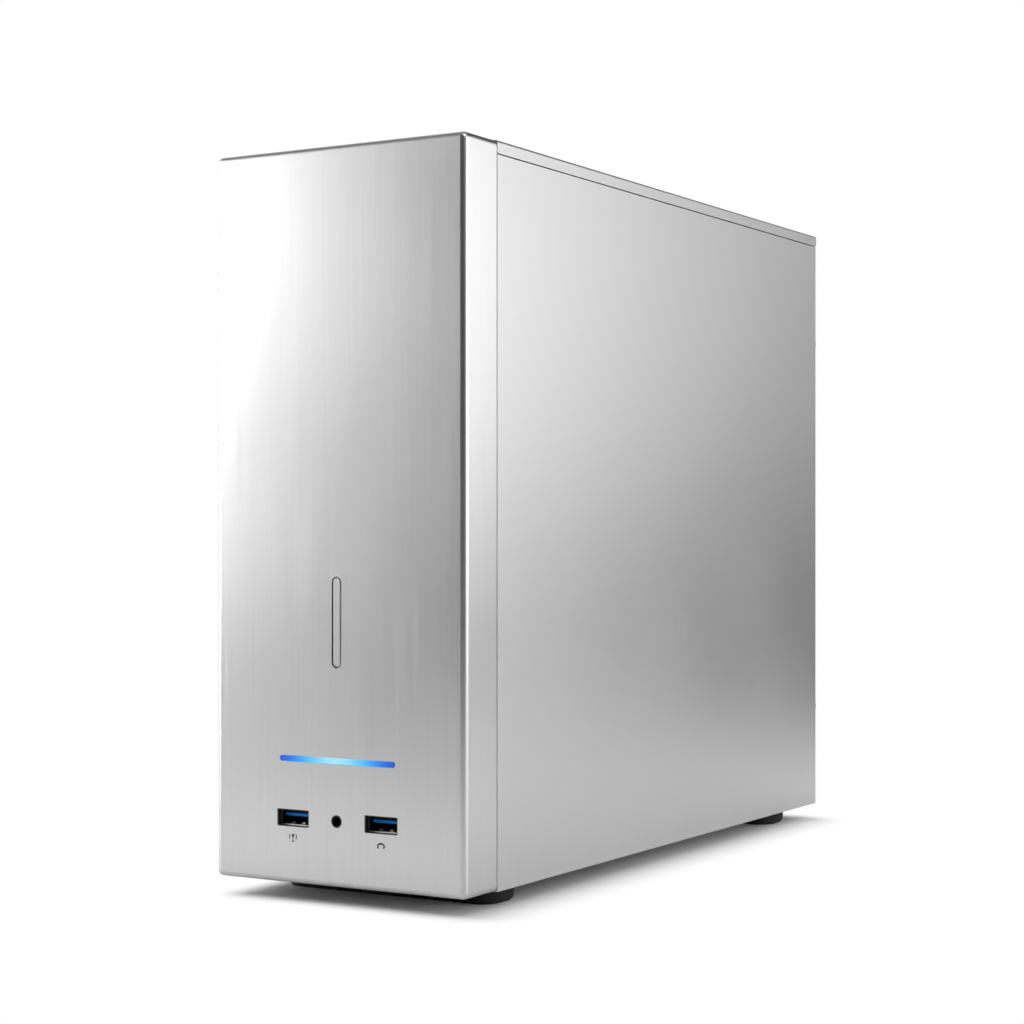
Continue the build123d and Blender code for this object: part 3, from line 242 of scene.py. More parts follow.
def turnedMetal(name, tone, rough):  # plated fasteners: rings left by the tool
    metal = Finish(name)
    rings = metal.noise((3800, 300, 3800), 2.0)
    metal.set({"Base Color": metal.tones(rings, grey(tone * 0.85), grey(tone * 1.08)), "Metallic": 1.0,
               "Roughness": rings.about(rough, 0.12), "Normal": metal.bump(rings, 0.00001)})
    return metal.material


def coatedBoard(name, colour, traceColour, dotColour):  # traces under lacquer, plated dots
    board = Finish(name)
    sockets = {"Vector": board.stretched(420), "Scale": 1.0, "Mortar Size": 0.09, "Brick Width": 2.6,
               "Row Height": 0.42}
    lanes = board.add("ShaderNodeTexBrick", {"offset": 0.37, "squash": 1.6, "squash_frequency": 3}, sockets, 1)
    dots, weave = board.cells(260) < 0.14, board.noise(1500, 2.0)
    lacquer = board.tones(weave, scaled(colour, 0.85), scaled(colour, 1.15))
    board.set({"Base Color": board.mix(dots, board.mix(lanes, lacquer, traceColour), dotColour),
               "Roughness": 0.34 + weave * 0.12, "Metallic": dots * 0.8,
               "Normal": board.bump(lanes + weave * 0.2, 0.00004)})
    return board.material


bezelLook = {"tone": 0.68, "rough": 0.36, "streaks": (1900, 1900, 16), "spread": 0.045, "grain": 0.000003}
panelLook = {"tone": 0.64, "rough": 0.42, "streaks": (900, 420, 420), "spread": 0.02, "grain": 0.000003}

finishes = {
    "bezel_metal": sheetMetal("brushed_front", **bezelLook),
    "panel_metal": sheetMetal("satin_panel", **panelLook),
    "case_steel": zincSheet("zinc_case", 0.52, 0.38),
    "supply_metal": zincSheet("zinc_supply", 0.44, 0.36),
    "black_plastic": mouldedPlastic("black_moulding", grey(0.012), 0.45),
    "blue_plastic": mouldedPlastic("blue_moulding", srgb(18, 128, 236), 0.38, 0.00001),
    "white_plastic": mouldedPlastic("pale_moulding", (0.62, 0.61, 0.56), 0.5),
    "socket_metal": sheetMetal("plated_socket", 0.62, 0.28, (700, 60, 700), 0.05, 0.00001),
    "screw_metal": turnedMetal("plated_screw", 0.58, 0.3),
    "foot_rubber": mouldedPlastic("foot_rubber", grey(0.005), 0.8, 0.00006, 1700),
    "board_green": coatedBoard("green_board", (0.012, 0.085, 0.04), (0.02, 0.14, 0.06), (0.55, 0.5, 0.36)),
    "fan_plastic": mouldedPlastic("fan_moulding", grey(0.016), 0.4),
    "sink_metal": sheetMetal("extruded_fins", 0.68, 0.34, (60, 900, 900), 0.06, 0.00001),
    "drive_metal": sheetMetal("dark_drive", 0.07, 0.42, (500, 500, 40), 0.08, 0.00001),
    "cable": mouldedPlastic("cable_jacket", grey(0.014), 0.6, 0.00005, 1300),
}
print("finishes:", len(finishes))

lightBar = {"glow": 1.0, "offset": -0.0005, "stops": [  # from the bright middle out to the deep ends
    (0.0, srgb(160, 222, 242)), (0.14, srgb(150, 218, 240)), (0.42, srgb(92, 190, 240)),
    (0.58, srgb(56, 156, 237)), (0.78, srgb(40, 108, 220)), (1.0, srgb(34, 80, 182))]}


def litGuide():
    low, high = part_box("light_bar")
    guide = Finish("lit_guide")
    reach = abs(guide.axes()[0] - lightBar["offset"]) / ((high.x - low.x) / 2)
    haze = guide.noise(900, 2.0)
    guide.set({"Base Color": guide.tones(reach, (0.04, 0.1, 0.16), (0.01, 0.03, 0.12), 0.0),
               "Specular IOR Level": 0.2, "Roughness": 0.22 + haze * 0.08,
               "Emission Color": guide.ramp(haze.about(reach, 0.05), lightBar["stops"]),
               "Emission Strength": lightBar["glow"]})
    return guide.material


finishes["light"] = litGuide()


def paint(obj, material):
    obj.data.materials.clear()
    obj.data.materials.append(material)


for row in frame["record"]["subparts"]:
    paint(nodes[row["node"]], finishes[row["material_slot"]])
print("nodes painted")

camera = {"place": (0.44437, -0.78838, 0.13403), "yaw": 30.517, "lens": 75.87, "sensor": 36, "rise": 0.0189,
          "nearest": 0.01}  # fitted to the case's edges
eye = bpy.data.objects.new("eye", bpy.data.cameras.new("eye"))
eye.data.lens = camera["lens"]
eye.data.sensor_width = camera["sensor"]
eye.data.shift_y = camera["rise"]
eye.data.clip_start = camera["nearest"]
eye.location = camera["place"]
eye.rotation_euler = (pi / 2, 0, radians(camera["yaw"]))
bpy.context.scene.collection.objects.link(eye)
bpy.context.scene.camera = eye

stockRules = {"bevelSteps": 2, "bevelFrom": 0.6, "sharpFrom": 32}  # radians, then degrees


class Stock:  # one piece built up from shaped blocks, rods and plates, in millimetres
    def __init__(self, name):
        self.name = name
        self.shape = bmesh.new()
        self.looks = []

    def finishFrom(self, count, look):  # the newest faces take this finish
        if look not in self.looks:
            self.looks.append(look)
        self.shape.faces.ensure_lookup_table()
        for face in self.shape.faces[count:]:
            face.material_index = self.looks.index(look)

    def add(self, verts, edge, look, count):
        if edge:
            edges = list({line for vert in verts for line in vert.link_edges})
            sharp = [line for line in edges if line.calc_face_angle(0) > stockRules["bevelFrom"]]
            bmesh.ops.bevel(self.shape, geom=sharp, offset=edge, segments=stockRules["bevelSteps"],
                            affect="EDGES", clamp_overlap=True)
        self.finishFrom(count, look)

    def block(self, low, high, edge, look):
        count = len(self.shape.faces)
        middle = (Vector(low) + Vector(high)) / 2
        size = Vector(high) - Vector(low)
        where = Matrix.Translation(middle) @ Matrix.Diagonal((*size, 1))
        self.add(bmesh.ops.create_cube(self.shape, size=1, matrix=where)["verts"], edge, look, count)

    def rod(self, start, end, radius, edge, look, sides=28):
        count = len(self.shape.faces)
        run = Vector(end) - Vector(start)
        turned = run.to_track_quat("Z", "Y").to_matrix().to_4x4()
        where = Matrix.Translation((Vector(start) + Vector(end)) / 2) @ turned
        made = bmesh.ops.create_cone(self.shape, cap_ends=True, segments=sides, radius1=radius, radius2=radius,
                                     depth=run.length, matrix=where)
        self.add(made["verts"], edge, look, count)

    def plate(self, outline, depth, look):  # a flat outline pushed along depth
        count = len(self.shape.faces)
        face = self.shape.faces.new([self.shape.verts.new(Vector(place)) for place in outline])
        pushed = bmesh.ops.extrude_face_region(self.shape, geom=[face])["geom"]
        moved = [item for item in pushed if isinstance(item, bmesh.types.BMVert)]
        bmesh.ops.translate(self.shape, verts=moved, vec=Vector(depth))
        self.finishFrom(count, look)

    def done(self, body, slot):
        bmesh.ops.scale(self.shape, verts=self.shape.verts, vec=(0.001, 0.001, 0.001))
        bmesh.ops.recalc_face_normals(self.shape, faces=self.shape.faces)
        mesh = bpy.data.meshes.new(self.name)
        self.shape.to_mesh(mesh)
        self.shape.free()
        for look in self.looks:
            mesh.materials.append(look)
        mesh.shade_smooth()
        mesh.set_sharp_from_angle(angle=radians(stockRules["sharpFrom"]))
        return seat(bpy.data.objects.new(self.name, mesh), body)


def seat(piece, body):
    bpy.context.scene.collection.objects.link(piece)
    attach(piece, body)
    return piece


def braidedSleeve(name, tone, strandTurns):  # two sets of strands that cross, over many wires
    sleeve = Finish(name)
    x, y, z = sleeve.axes()
    strands = ((x + y + z) * strandTurns).wave() * ((x - y - z) * strandTurns).wave()
    wear = sleeve.noise(240)
    shade = sleeve.tones(strands * 0.3 + wear * 0.7, grey(tone * 0.6), grey(tone * 1.9), 0.2)
    sleeve.set({"Base Color": shade, "Roughness": wear.about(0.62, 0.2),
                "Normal": sleeve.bump(strands, 0.0003)})
    return sleeve.material


harness = {"route": [(-10, -18.4, 224), (-10, -52.9, 224), (-10, -52.9, 114), (-10, -13.4, 114),
                     (15.25, -13.4, 114)],
           "thick": 9.0, "plugLow": (15.15, -18.2, 88), "plugHigh": (28.15, -8.6, 140), "wires": 12, "rows": 2}
frontLead = {"route": [(-12, -139.1, 73), (-12, -112.3, 73), (-11, -72.6, 63), (-5, -24.9, 68),
                       (13.25, -10.9, 73), (27.25, -10.9, 73)],
             "thick": 4.8, "plugLow": (27.15, -14.9, 69), "plugHigh": (37.15, -6.9, 77), "wires": 5, "rows": 2}
plugShape = {"lead": 0.1, "collar": 1.2, "body": 2.4, "lap": 2.6, "inset": 0.6, "leadShare": 0.36,
             "leadSides": 12,
             "catch": {"from": 3.2, "short": 0.6, "half": 2.6, "out": 1.0, "in": 0.3}}


def runCord(name, route, thick, look, replaced):
    line = bpy.data.curves.new(name, "CURVE")
    line.dimensions = "3D"
    line.bevel_depth = thick / 2000
    line.bevel_resolution = 5
    line.resolution_u = 18
    line.use_fill_caps = True
    spline = line.splines.new("NURBS")
    spline.points.add(len(route) - 1)
    for point, place in zip(spline.points, route):
        point.co = (*(Vector(place) / 1000), 1)
    spline.order_u = 3
    spline.use_endpoint_u = True
    line.materials.append(look)
    piece = seat(bpy.data.objects.new(name, line), "case")
    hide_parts(replaced)
    return piece


sleeveLook = braidedSleeve("woven_sleeve", 0.013, 2600)
plugLook = mouldedPlastic("plug_moulding", grey(0.02), 0.42, 0.00002)
wireLook = mouldedPlastic("wire_jacket", grey(0.03), 0.5)


def plugBlock(name, plugLow, plugHigh, wires, rows):  # a plug with a lead in each hole and a catch on one side
    plug, shape, catch = Stock(name), plugShape, plugShape["catch"]
    low, high, inset = Vector(plugLow), Vector(plugHigh), plugShape["inset"]
    plug.block((low.x + shape["body"], low.y, low.z), high, 0.5, plugLook)
    plug.block((low.x + shape["collar"], low.y + inset, low.z + inset),
               (low.x + shape["lap"], high.y - inset, high.z - inset), 0.4, plugLook)
    stepY, stepZ = (high.y - low.y) / rows, (high.z - low.z) / wires
    for row in range(rows):
        for lead in range(wires):
            y, z = low.y + (row + 0.5) * stepY, low.z + (lead + 0.5) * stepZ
            plug.rod((low.x + shape["lead"], y, z), (low.x + shape["lap"], y, z),
                     shape["leadShare"] * min(stepY, stepZ), 0.2, wireLook, shape["leadSides"])
    middle = (low.z + high.z) / 2
    plug.block((low.x + catch["from"], low.y - catch["out"], middle - catch["half"]),
               (high.x - catch["short"], low.y + catch["in"], middle + catch["half"]), 0.35, plugLook)
    return plug.done("case", "black_plastic")


def plugOf(name, cord):
    return plugBlock(name, *[cord[key] for key in ("plugLow", "plugHigh", "wires", "rows")])


harnessPlug = plugOf("harness_plug", harness)
harnessCord = runCord("harness_cord", harness["route"], harness["thick"], sleeveLook, "power_harness")
frontPlug = plugOf("front_lead_plug", frontLead)
frontCord = runCord("front_lead", frontLead["route"], frontLead["thick"], finishes["cable"], "front_cable")
print("cords: 2")


def oval(middle, across, up, turns, front):  # places on an oval on the front
    return [(middle[0] + across * cos(t), front, middle[1] + up * sin(t)) for t in turns]


def band(outer, inner, first, sweep, steps, front):  # part of a flat ring between two ovals
    turns = [radians(first + sweep * k / steps) for k in range(steps + 1)]
    return oval(*outer, turns, front) + oval(*inner, list(reversed(turns)), front)


icons = {"left": -19.1, "right": 19.1, "height": 23.55, "front": -157.7, "ink": 0.03,
         "capsules": ((0.95, 0.5, 0.1), (-0.35, 0.2, -1.15)),  # top, half width, low end: microphone, then stem
         "base": {"half": 0.6, "top": -1.15, "low": -1.45},
         "waves": {"rise": 0.35, "outer": 1.72, "inner": 1.34, "starts": (-32, 148), "sweep": 64, "steps": 10},
         "arch": {"outer": (-0.55, 1.75, 1.45), "inner": (-0.6, 1.25, 0.75),  # rise, half width, half height
                  "first": -6, "sweep": 192, "steps": 20},
         "ears": {"out": 1.2, "half": 0.32, "low": -1.2, "top": -0.5, "edge": 0.015}}
inkLook = mouldedPlastic("grey_print", grey(0.055), 0.6, 0.00001)


def printIcons():
    prints = Stock("port_icons")
    front, ink = icons["front"], (0, -icons["ink"], 0)
    x, z = icons["left"], icons["height"]
    halfTurn = [pi * k / 10 for k in range(11)]
    for top, half, low in icons["capsules"]:
        cap = oval((x, z + top), half, half, halfTurn, front)
        prints.plate(cap + [(x - half, front, z + low), (x + half, front, z + low)], ink, inkLook)
    half, top, low = [icons["base"][key] for key in ("half", "top", "low")]
    corners = ((-half, top), (half, top), (half, low), (-half, low))
    prints.plate([(x + across, front, z + up) for across, up in corners], ink, inkLook)
    waves = icons["waves"]
    outer, inner = [((x, z + waves["rise"]), waves[key], waves[key]) for key in ("outer", "inner")]
    for first in waves["starts"]:
        prints.plate(band(outer, inner, first, waves["sweep"], waves["steps"], front), ink, inkLook)
    x, arch, ears = icons["right"], icons["arch"], icons["ears"]
    outer, inner = [((x, z + arch[key][0]), *arch[key][1:]) for key in ("outer", "inner")]
    prints.plate(band(outer, inner, arch["first"], arch["sweep"], arch["steps"], front), ink, inkLook)
    for side in (-1, 1):
        middle = x + side * ears["out"]
        prints.block((middle - ears["half"], front - icons["ink"], z + ears["low"]),
                     (middle + ears["half"], front, z + ears["top"]), ears["edge"], inkLook)
    return prints.done("case", "black_plastic")


printIcons()

# blue and blueEnds: where the tongue shows its own blue; above and behind, its colour is painted shade
# lip: below this height the shell's rim gets a painted highlight
usbPorts = {"offset": 19.1, "mouth": -155.7, "floor": 28.1, "springs": (-2.7, 1.8), "springHalf": 0.7,
            "bump": [(1.9, 0.0), (2.3, 0.55), (2.8, 0.55), (3.3, 0.0)],  # from the mouth, then off the floor
            "blue": (31.0, 31.95), "blueEnds": -151.5, "lip": 28.15, "rim": 0.15}


def platedFinish(name, metallic, rough, dark, light, patches, glossPatches):
    plated = Finish(name)
    plated.set({"Base Color": plated.tones(plated.noise(patches), dark, light), "Metallic": metallic,
                "Roughness": rough + plated.noise(glossPatches) * 0.1})
    return plated.material


springLook = platedFinish("bright_spring", 0.8, 0.34, grey(0.5), grey(0.6), 1200, 2000)


def tongueWithPaintedShade():  # blue at the front of the tongue, painted shade in black behind and on top
    tongue = Finish("blue_tongue")
    y, z = tongue.axes()[1:]
    low, high = [v / 1000 for v in usbPorts["blue"]]
    # the tongue shows its blue only inside this mask; elsewhere it gets painted shade
    blue = (y < usbPorts["blueEnds"] / 1000) * (z > low) * (z < high)
    pits = tongue.noise(2400)
    shade = tongue.tones(pits, srgb(0, 138, 246), srgb(0, 152, 255))
    # grey(0.004) is painted shade on the top and back of the tongue, which is blue plastic all over
    tongue.set({"Base Color": tongue.mix(blue, grey(0.004), shade), "Specular IOR Level": 0.1,
                "Roughness": 0.5 + pits * 0.1, "Normal": tongue.bump(pits, 0.00001)})
    return tongue.material


def shellWithPaintedLight():  # a plated rim with a painted highlight on its lower lip, and painted shade inside
    shell = Finish("usb_shell")
    y, z = shell.axes()[1:]
    inside = y > (usbPorts["mouth"] + usbPorts["rim"]) / 1000
    grain = shell.noise((1500, 300, 1500))
    # the lower lip is the same plating as the rest of the rim; grey(0.97) there is a painted highlight
    rim = shell.mix(z < usbPorts["lip"] / 1000, shell.tones(grain, grey(0.2), grey(0.3)), grey(0.97))
    # inside the mouth, grey(0.012) with no metal is painted shade in the socket
    shell.set({"Base Color": shell.mix(inside, rim, grey(0.012)),
               "Metallic": 1 - inside, "Roughness": 0.34 + grain * 0.1 + inside * 0.2})
    return shell.material


def fitSprings():  # two bumps in each socket that press on a plug
    springs = Stock("usb_springs")
    mouth, floor, half = usbPorts["mouth"], usbPorts["floor"], usbPorts["springHalf"]
    for middle in (-usbPorts["offset"], usbPorts["offset"]):
        for x in usbPorts["springs"]:
            outline = [(middle + x - half, mouth + y, floor + z) for y, z in usbPorts["bump"]]
            springs.plate(outline, (2 * half, 0, 0), springLook)
    return springs.done("case", "socket_metal")


for side in ("left", "right"):
    paint(nodes["usb_tongue_" + side], tongueWithPaintedShade())
    paint(nodes["front_usb_" + side], shellWithPaintedLight())
fitSprings()
print("front sockets dressed")

screws = {"rear": [(-37.5, 208), (37.5, 208), (-37.5, 257), (37.5, 257), (-34.55, 24.2)],
          "board": [(143.7, 32.4), (143.7, 189.6), (-13.5, 32.4), (-13.5, 189.6)],
          "foot": [(-28, -117.2), (28, -117.2), (-28, 127.8), (28, 127.8)],
          "faces": {"rear": 155.1, "board": 35.15, "foot": 3.0}, "skin": 0.02, "reach": 1.9, "half": 0.42}
# the cross recesses are not cut: they are thin near-black plates laid on the faces, painted shade where the
# hollows would be
recessShadeLook = turnedMetal("screw_recess", 0.03, 0.6)


def crossOutline(put):  # the outline of a cross recess, each corner placed by put
    a, b = screws["reach"], screws["half"]
    corners = [(b, a), (-b, a), (-b, b), (-a, b), (-a, -b), (-b, -b),
               (-b, -a), (b, -a), (b, -b), (a, -b), (a, b), (b, b)]
    return [put(u, v) for u, v in corners]


def paintRecessShade():
    shadeCrosses = Stock("screw_recesses")
    faces, skin = screws["faces"], screws["skin"]
    for x, z in screws["rear"]:
        shadeCrosses.plate(crossOutline(lambda u, v: (x + u, faces["rear"], z + v)), (0, skin, 0), recessShadeLook)
    for y, z in screws["board"]:
        shadeCrosses.plate(crossOutline(lambda u, v: (faces["board"], y + u, z + v)), (-skin, 0, 0), recessShadeLook)
    for x, y in screws["foot"]:
        shadeCrosses.plate(crossOutline(lambda u, v: (x + u, y + v, faces["foot"])), (0, 0, -skin), recessShadeLook)
    return shadeCrosses.done("case", "screw_metal")


paintRecessShade()
thumbs = {"x": 48.5, "heights": (52.0, 221.85), "radius": 4.2, "low": 154.9, "high": 156.4, "face": 157.7,
          "recess": 1.3, "ribs": 26, "rib": 0.3, "ribEdge": 0.1, "ribSides": 6}


def knurl(side, body):
    ribs = Stock(body + "_knurls")
    x, grow = side * thumbs["x"], thumbs["recess"]
    for z in thumbs["heights"]:
        for k in range(thumbs["ribs"]):
            turn = tau * k / thumbs["ribs"]
            across, up = x + thumbs["radius"] * cos(turn), z + thumbs["radius"] * sin(turn)
            ribs.rod((across, thumbs["low"], up), (across, thumbs["high"], up), thumbs["rib"],
                     thumbs["ribEdge"], finishes["screw_metal"], thumbs["ribSides"])
        # the thumbscrew's cross is also a painted shade plate, not a hollow
        recess = crossOutline(lambda u, v: (x + grow * u, thumbs["face"], z + grow * v))
        ribs.plate(recess, (0, screws["skin"], 0), recessShadeLook)
    return ribs.done(body, "screw_metal")


knurl(-1, "left_panel")
knurl(1, "right_panel")
print("fasteners and icons")

boardParts = {
    "face": 37.15, "rear": 150.1, "low": 26,
    "chips": [(32, 22, 9, 9, 1.2), (34, 45, 8, 8, 1.0), (74, 24, 14, 14, 1.5), (84, 52, 6, 5, 1.2),
              (142, 25, 5, 4, 1.4), (40, 34, 3, 3, 0.9), (122, 160, 7, 5, 1.4), (46, 157, 6, 5, 1.4)],
    "chipLeads": 0.7,
    "cans": [(a, 157, 3.15, 8.0) for a in (62, 72, 82, 92, 102)] + [(a, 15, 2.5, 6.0) for a in (46, 53, 60)]
            + [(157, b, 3.15, 8.0) for b in (122, 131)],
    "chokes": [(25.4, b) for b in (72, 84, 96, 108, 120, 132, 144)], "choke": (3.3, 3.6, 6.2),
    "sockets": [(163.4, 19), (163.4, 34)], "shroudHigh": 8.6,
    "shroud": ((-7, 7, -3, -1.9), (-7, 7, 1.9, 3), (-7, -5.8, -3, 3), (5.8, 7, -3, 3)),
    "headers": [(86, 14, 5), (72, 14, 4), (136, 163, 4)], "pitch": 2.54, "pin": 0.32, "pinEnds": (8.4, 2.2),
    "cell": (60, 40), "cellSides": 48,
    "rows": [(24 + 3.1 * k, 60.5) for k in range(20)] + [(150, 60 + 3.4 * k) for k in range(16)]}
chipLook = mouldedPlastic("chip_moulding", grey(0.014), 0.5, 0.00001, 4000)
tinLook = turnedMetal("tinned_lead", 0.6, 0.34)
sleeveFilm = mouldedPlastic("can_film", (0.012, 0.012, 0.02), 0.3, 0.00001)
chokeLook = mouldedPlastic("choke_ferrite", grey(0.045), 0.6, 0.00004)
goldLook = platedFinish("gold_plate", 1.0, 0.24, (0.62, 0.42, 0.13), (0.78, 0.56, 0.22), 900, 1600)


def onBoard(a, b, rise):  # a from the rear edge, b from the lower edge, rise off the board
    return (boardParts["face"] - rise, boardParts["rear"] - a, boardParts["low"] + b)


def fillBoard():
    parts = Stock("board_parts")

    def slab(a, b, long, wide, top, low, edge, look):  # half sizes about a place
        parts.block(onBoard(a + long, b - wide, top), onBoard(a - long, b + wide, low), edge, look)

    def post(a, b, low, top, radius, edge, look, sides=28):
        parts.rod(onBoard(a, b, low), onBoard(a, b, top), radius, edge, look, sides)

    leads = boardParts["chipLeads"]
    for a, b, long, wide, rise in boardParts["chips"]:
        slab(a, b, long / 2 + leads, wide / 2 + leads, 0.25, 0, 0.05, tinLook)
        slab(a, b, long / 2, wide / 2, rise, 0.1, 0.18, chipLook)
    for a, b, radius, rise in boardParts["cans"]:  # a base, a film sleeve and a bare top
        post(a, b, 0, 0.6, radius + 0.25, 0.15, chipLook)
        post(a, b, 0.5, rise, radius, 0.45, sleeveFilm)
        post(a, b, rise - 0.3, rise + 0.04, radius * 0.8, 0.02, tinLook)
    for a, b in boardParts["chokes"]:
        slab(a, b, *boardParts["choke"], 0, 0.7, chokeLook)
        post(a, b, 6.0, 6.3, 2.0, 0.1, chipLook)
    for a, b in boardParts["sockets"]:  # drive sockets: a shroud with a blade in it
        for low, high, first, last in boardParts["shroud"]:
            parts.block(onBoard(a + last, b + low, boardParts["shroudHigh"]), onBoard(a + first, b + high, 0),
                        0.25, chipLook)
        parts.block(onBoard(a + 0.6, b - 5, 7.6), onBoard(a - 0.6, b + 4.4, 0), 0.2, chipLook)
        slab(a, b, 2.4, 6.4, 0.8, 0, 0.2, chipLook)
    pitch, pin = boardParts["pitch"], boardParts["pin"]
    for a, b, pins in boardParts["headers"]:  # two rows of pins in a base
        slab(a, b, pitch / 2 * pins, 2.5, 2.5, 0, 0.3, chipLook)
        for k in range(pins):
            for side in (-pitch / 2, pitch / 2):
                along = a + pitch * (k - (pins - 1) / 2)
                slab(along, b + side, pin, pin, *boardParts["pinEnds"], 0.12, goldLook)
    (a, b), sides = boardParts["cell"], boardParts["cellSides"]  # a coin cell in its holder, under a clip
    post(a, b, 0, 3.0, 11.2, 0.5, chipLook, sides)
    post(a, b, 2.4, 3.9, 10.0, 0.4, tinLook, sides)
    post(a, b, 3.8, 4.05, 8.6, 0.1, tinLook, sides)
    parts.block(onBoard(a + 2, b + 8.5, 4.6), onBoard(a - 2, b + 12, 0), 0.3, tinLook)
    for k, (a, b) in enumerate(boardParts["rows"]):  # small resistors and capacitors
        slab(a, b, 0.8, 0.42, 0.5, 0, 0.06, tinLook)
        slab(a, b, 0.45, 0.45, 0.56, 0.1, 0.06, chipLook if k % 3 else chokeLook)
    return parts.done("case", "board_green")


fillBoard()
print("board parts")


def inBoxes(x, z, middles, half):  # 1 inside any of these rectangles across the rear, in millimetres
    inside = None
    for across, up in middles:
        box = x.near(across / 1000, half[0] / 1000) * z.near(up / 1000, half[1] / 1000)
        inside = inside.largest(box) if inside else box
    return inside


def stripes(along, pitch):  # a wave along an axis, pitch in millimetres
    return (along * (tau * 1000 / pitch)).wave()


giltColour = (0.7, 0.5, 0.2)
contactPitch = 1.3


def portFinish(name, tongues, half, depth, colour, fingers=0.0):  # plated shell, moulded lining, gilt
    port = Finish(name)
    x, y, z = port.axes()
    inside = inBoxes(x, z, tongues, half) * (y < depth / 1000)
    grain = port.noise((1500, 200, 1500))
    shell = port.tones(grain, grey(0.52), grey(0.66))
    lining = port.tones(grain, scaled(colour, 0.85), colour)
    gilt = inside * (stripes(z, contactPitch) > 0.35) * fingers
    port.set({"Base Color": port.mix(gilt, port.mix(inside, shell, lining), giltColour),
              "Metallic": (1 - inside).largest(gilt), "Roughness": 0.3 + grain * 0.12,
              "Normal": port.bump(grain, 0.00001)})
    return port.material


rearPorts = {
    "rear_usb_ports": {"tongues": [(32.3, 96), (24.5, 96), (32.3, 116), (24.5, 116)], "half": (1.0, 5.6),
                       "depth": 151.75, "colour": srgb(18, 118, 225)},
    "rear_network_port": {"tongues": [(29.0, 71)], "half": (4.9, 6.15), "depth": 153.05, "colour": grey(0.02),
                          "fingers": 1.0},
    "rear_display_ports": {"tongues": [(33.45, 144), (33.45, 166)], "half": (0.56, 5.15), "depth": 151.75,
                           "colour": grey(0.02)},
}
for node, look in rearPorts.items():
    paint(nodes[node], portFinish(node + "_finish", **look))

audioJacks = {"splits": (13.15, 25.15), "collarFrom": 151.35,
              "colours": [(0.55, 0.12, 0.2), (0.13, 0.42, 0.08), (0.1, 0.28, 0.6)]}


def audioFinish(splits, collarFrom, colours):
    jack = Finish("jack_collars")
    x, y = jack.axes()[:2]
    pits = jack.noise(2400)
    collars = jack.mix(x > splits[1] / 1000, jack.mix(x > splits[0] / 1000, *colours[:2]), colours[2])
    jack.set({"Base Color": jack.mix(y > collarFrom / 1000, grey(0.014), collars),
              "Roughness": 0.36 + pits * 0.14, "Normal": jack.bump(pits, 0.00002)})
    return jack.material


paint(nodes["rear_audio_jacks"], audioFinish(**audioJacks))

inletPins = {"pins": [(-22, 243), (-15, 247), (-8, 243)], "half": (1.06, 2.06), "root": 137.95}


def inletFinish(pins, half, root):
    inlet = Finish("inlet_moulding")
    x, y, z = inlet.axes()
    metal = inBoxes(x, z, pins, half) * (y > root / 1000)
    pits = inlet.noise(2400)
    plain = inlet.tones(pits, grey(0.01), grey(0.016))
    inlet.set({"Base Color": inlet.mix(metal, plain, (0.62, 0.6, 0.55)), "Metallic": metal,
               "Roughness": 0.4 - metal * 0.12 + pits * 0.12, "Normal": inlet.bump(pits, 0.00003)})
    return inlet.material


paint(nodes["psu_inlet"], inletFinish(**inletPins))

rockerMarks = {"middle": 21.5, "bar": 248.6, "barHalf": (0.24, 1.8), "ring": 241.4, "ringRadius": 1.6,
               "ringHalf": 0.24, "face": 151.3}


def rockerFinish(middle, bar, barHalf, ring, ringRadius, ringHalf, face):
    rocker = Finish("rocker_moulding")
    x, y, z = rocker.axes()
    far = ((x - middle / 1000) ** 2 + (z - ring / 1000) ** 2) ** 0.5
    marks = far.near(ringRadius / 1000, ringHalf / 1000).largest(inBoxes(x, z, [(middle, bar)], barHalf))
    pits = rocker.noise(2400)
    plain = rocker.tones(pits, grey(0.011), grey(0.018))
    rocker.set({"Base Color": rocker.mix(marks * (y > face / 1000), plain, grey(0.8)),
                "Roughness": 0.34 + pits * 0.14, "Normal": rocker.bump(pits, 0.00002)})
    return rocker.material


paint(nodes["psu_rocker"], rockerFinish(**rockerMarks))

memory = {"boards": (1.3, 10.9), "boardHalf": 0.72, "giltFrom": 31.2, "pitch": 0.85}


def memoryFinish(boards, boardHalf, giltFrom, pitch):  # green boards, black chips, gilt edges
    module = Finish("memory_board")
    x, y, z = module.axes()
    first, second = [y.near(place / 1000, boardHalf / 1000) for place in boards]
    bare = first.largest(second)
    gilt = (x > giltFrom / 1000) * bare * (stripes(z, pitch) > -0.2)
    weave = module.noise(1500, 2.0)
    lacquer = module.tones(weave, (0.01, 0.07, 0.035), (0.014, 0.1, 0.05))
    chips = module.tones(weave, grey(0.011), grey(0.018))
    module.set({"Base Color": module.mix(gilt, module.mix(bare, chips, lacquer), giltColour), "Metallic": gilt,
                "Roughness": 0.36 + weave * 0.14, "Normal": module.bump(weave, 0.00002)})
    return module.material


paint(nodes["memory_modules"], memoryFinish(**memory))
print("rear sockets and memory dressed")

floorLook = {"reach": 0.52, "sides": 64, "tone": 0.86, "under": (0.01, 0.011),  # white beyond the shadow
             "white": (0.014, 0.03, 0.017), "glossWhite": (0.24, 0.24, 0.11)}  # left, right, ahead


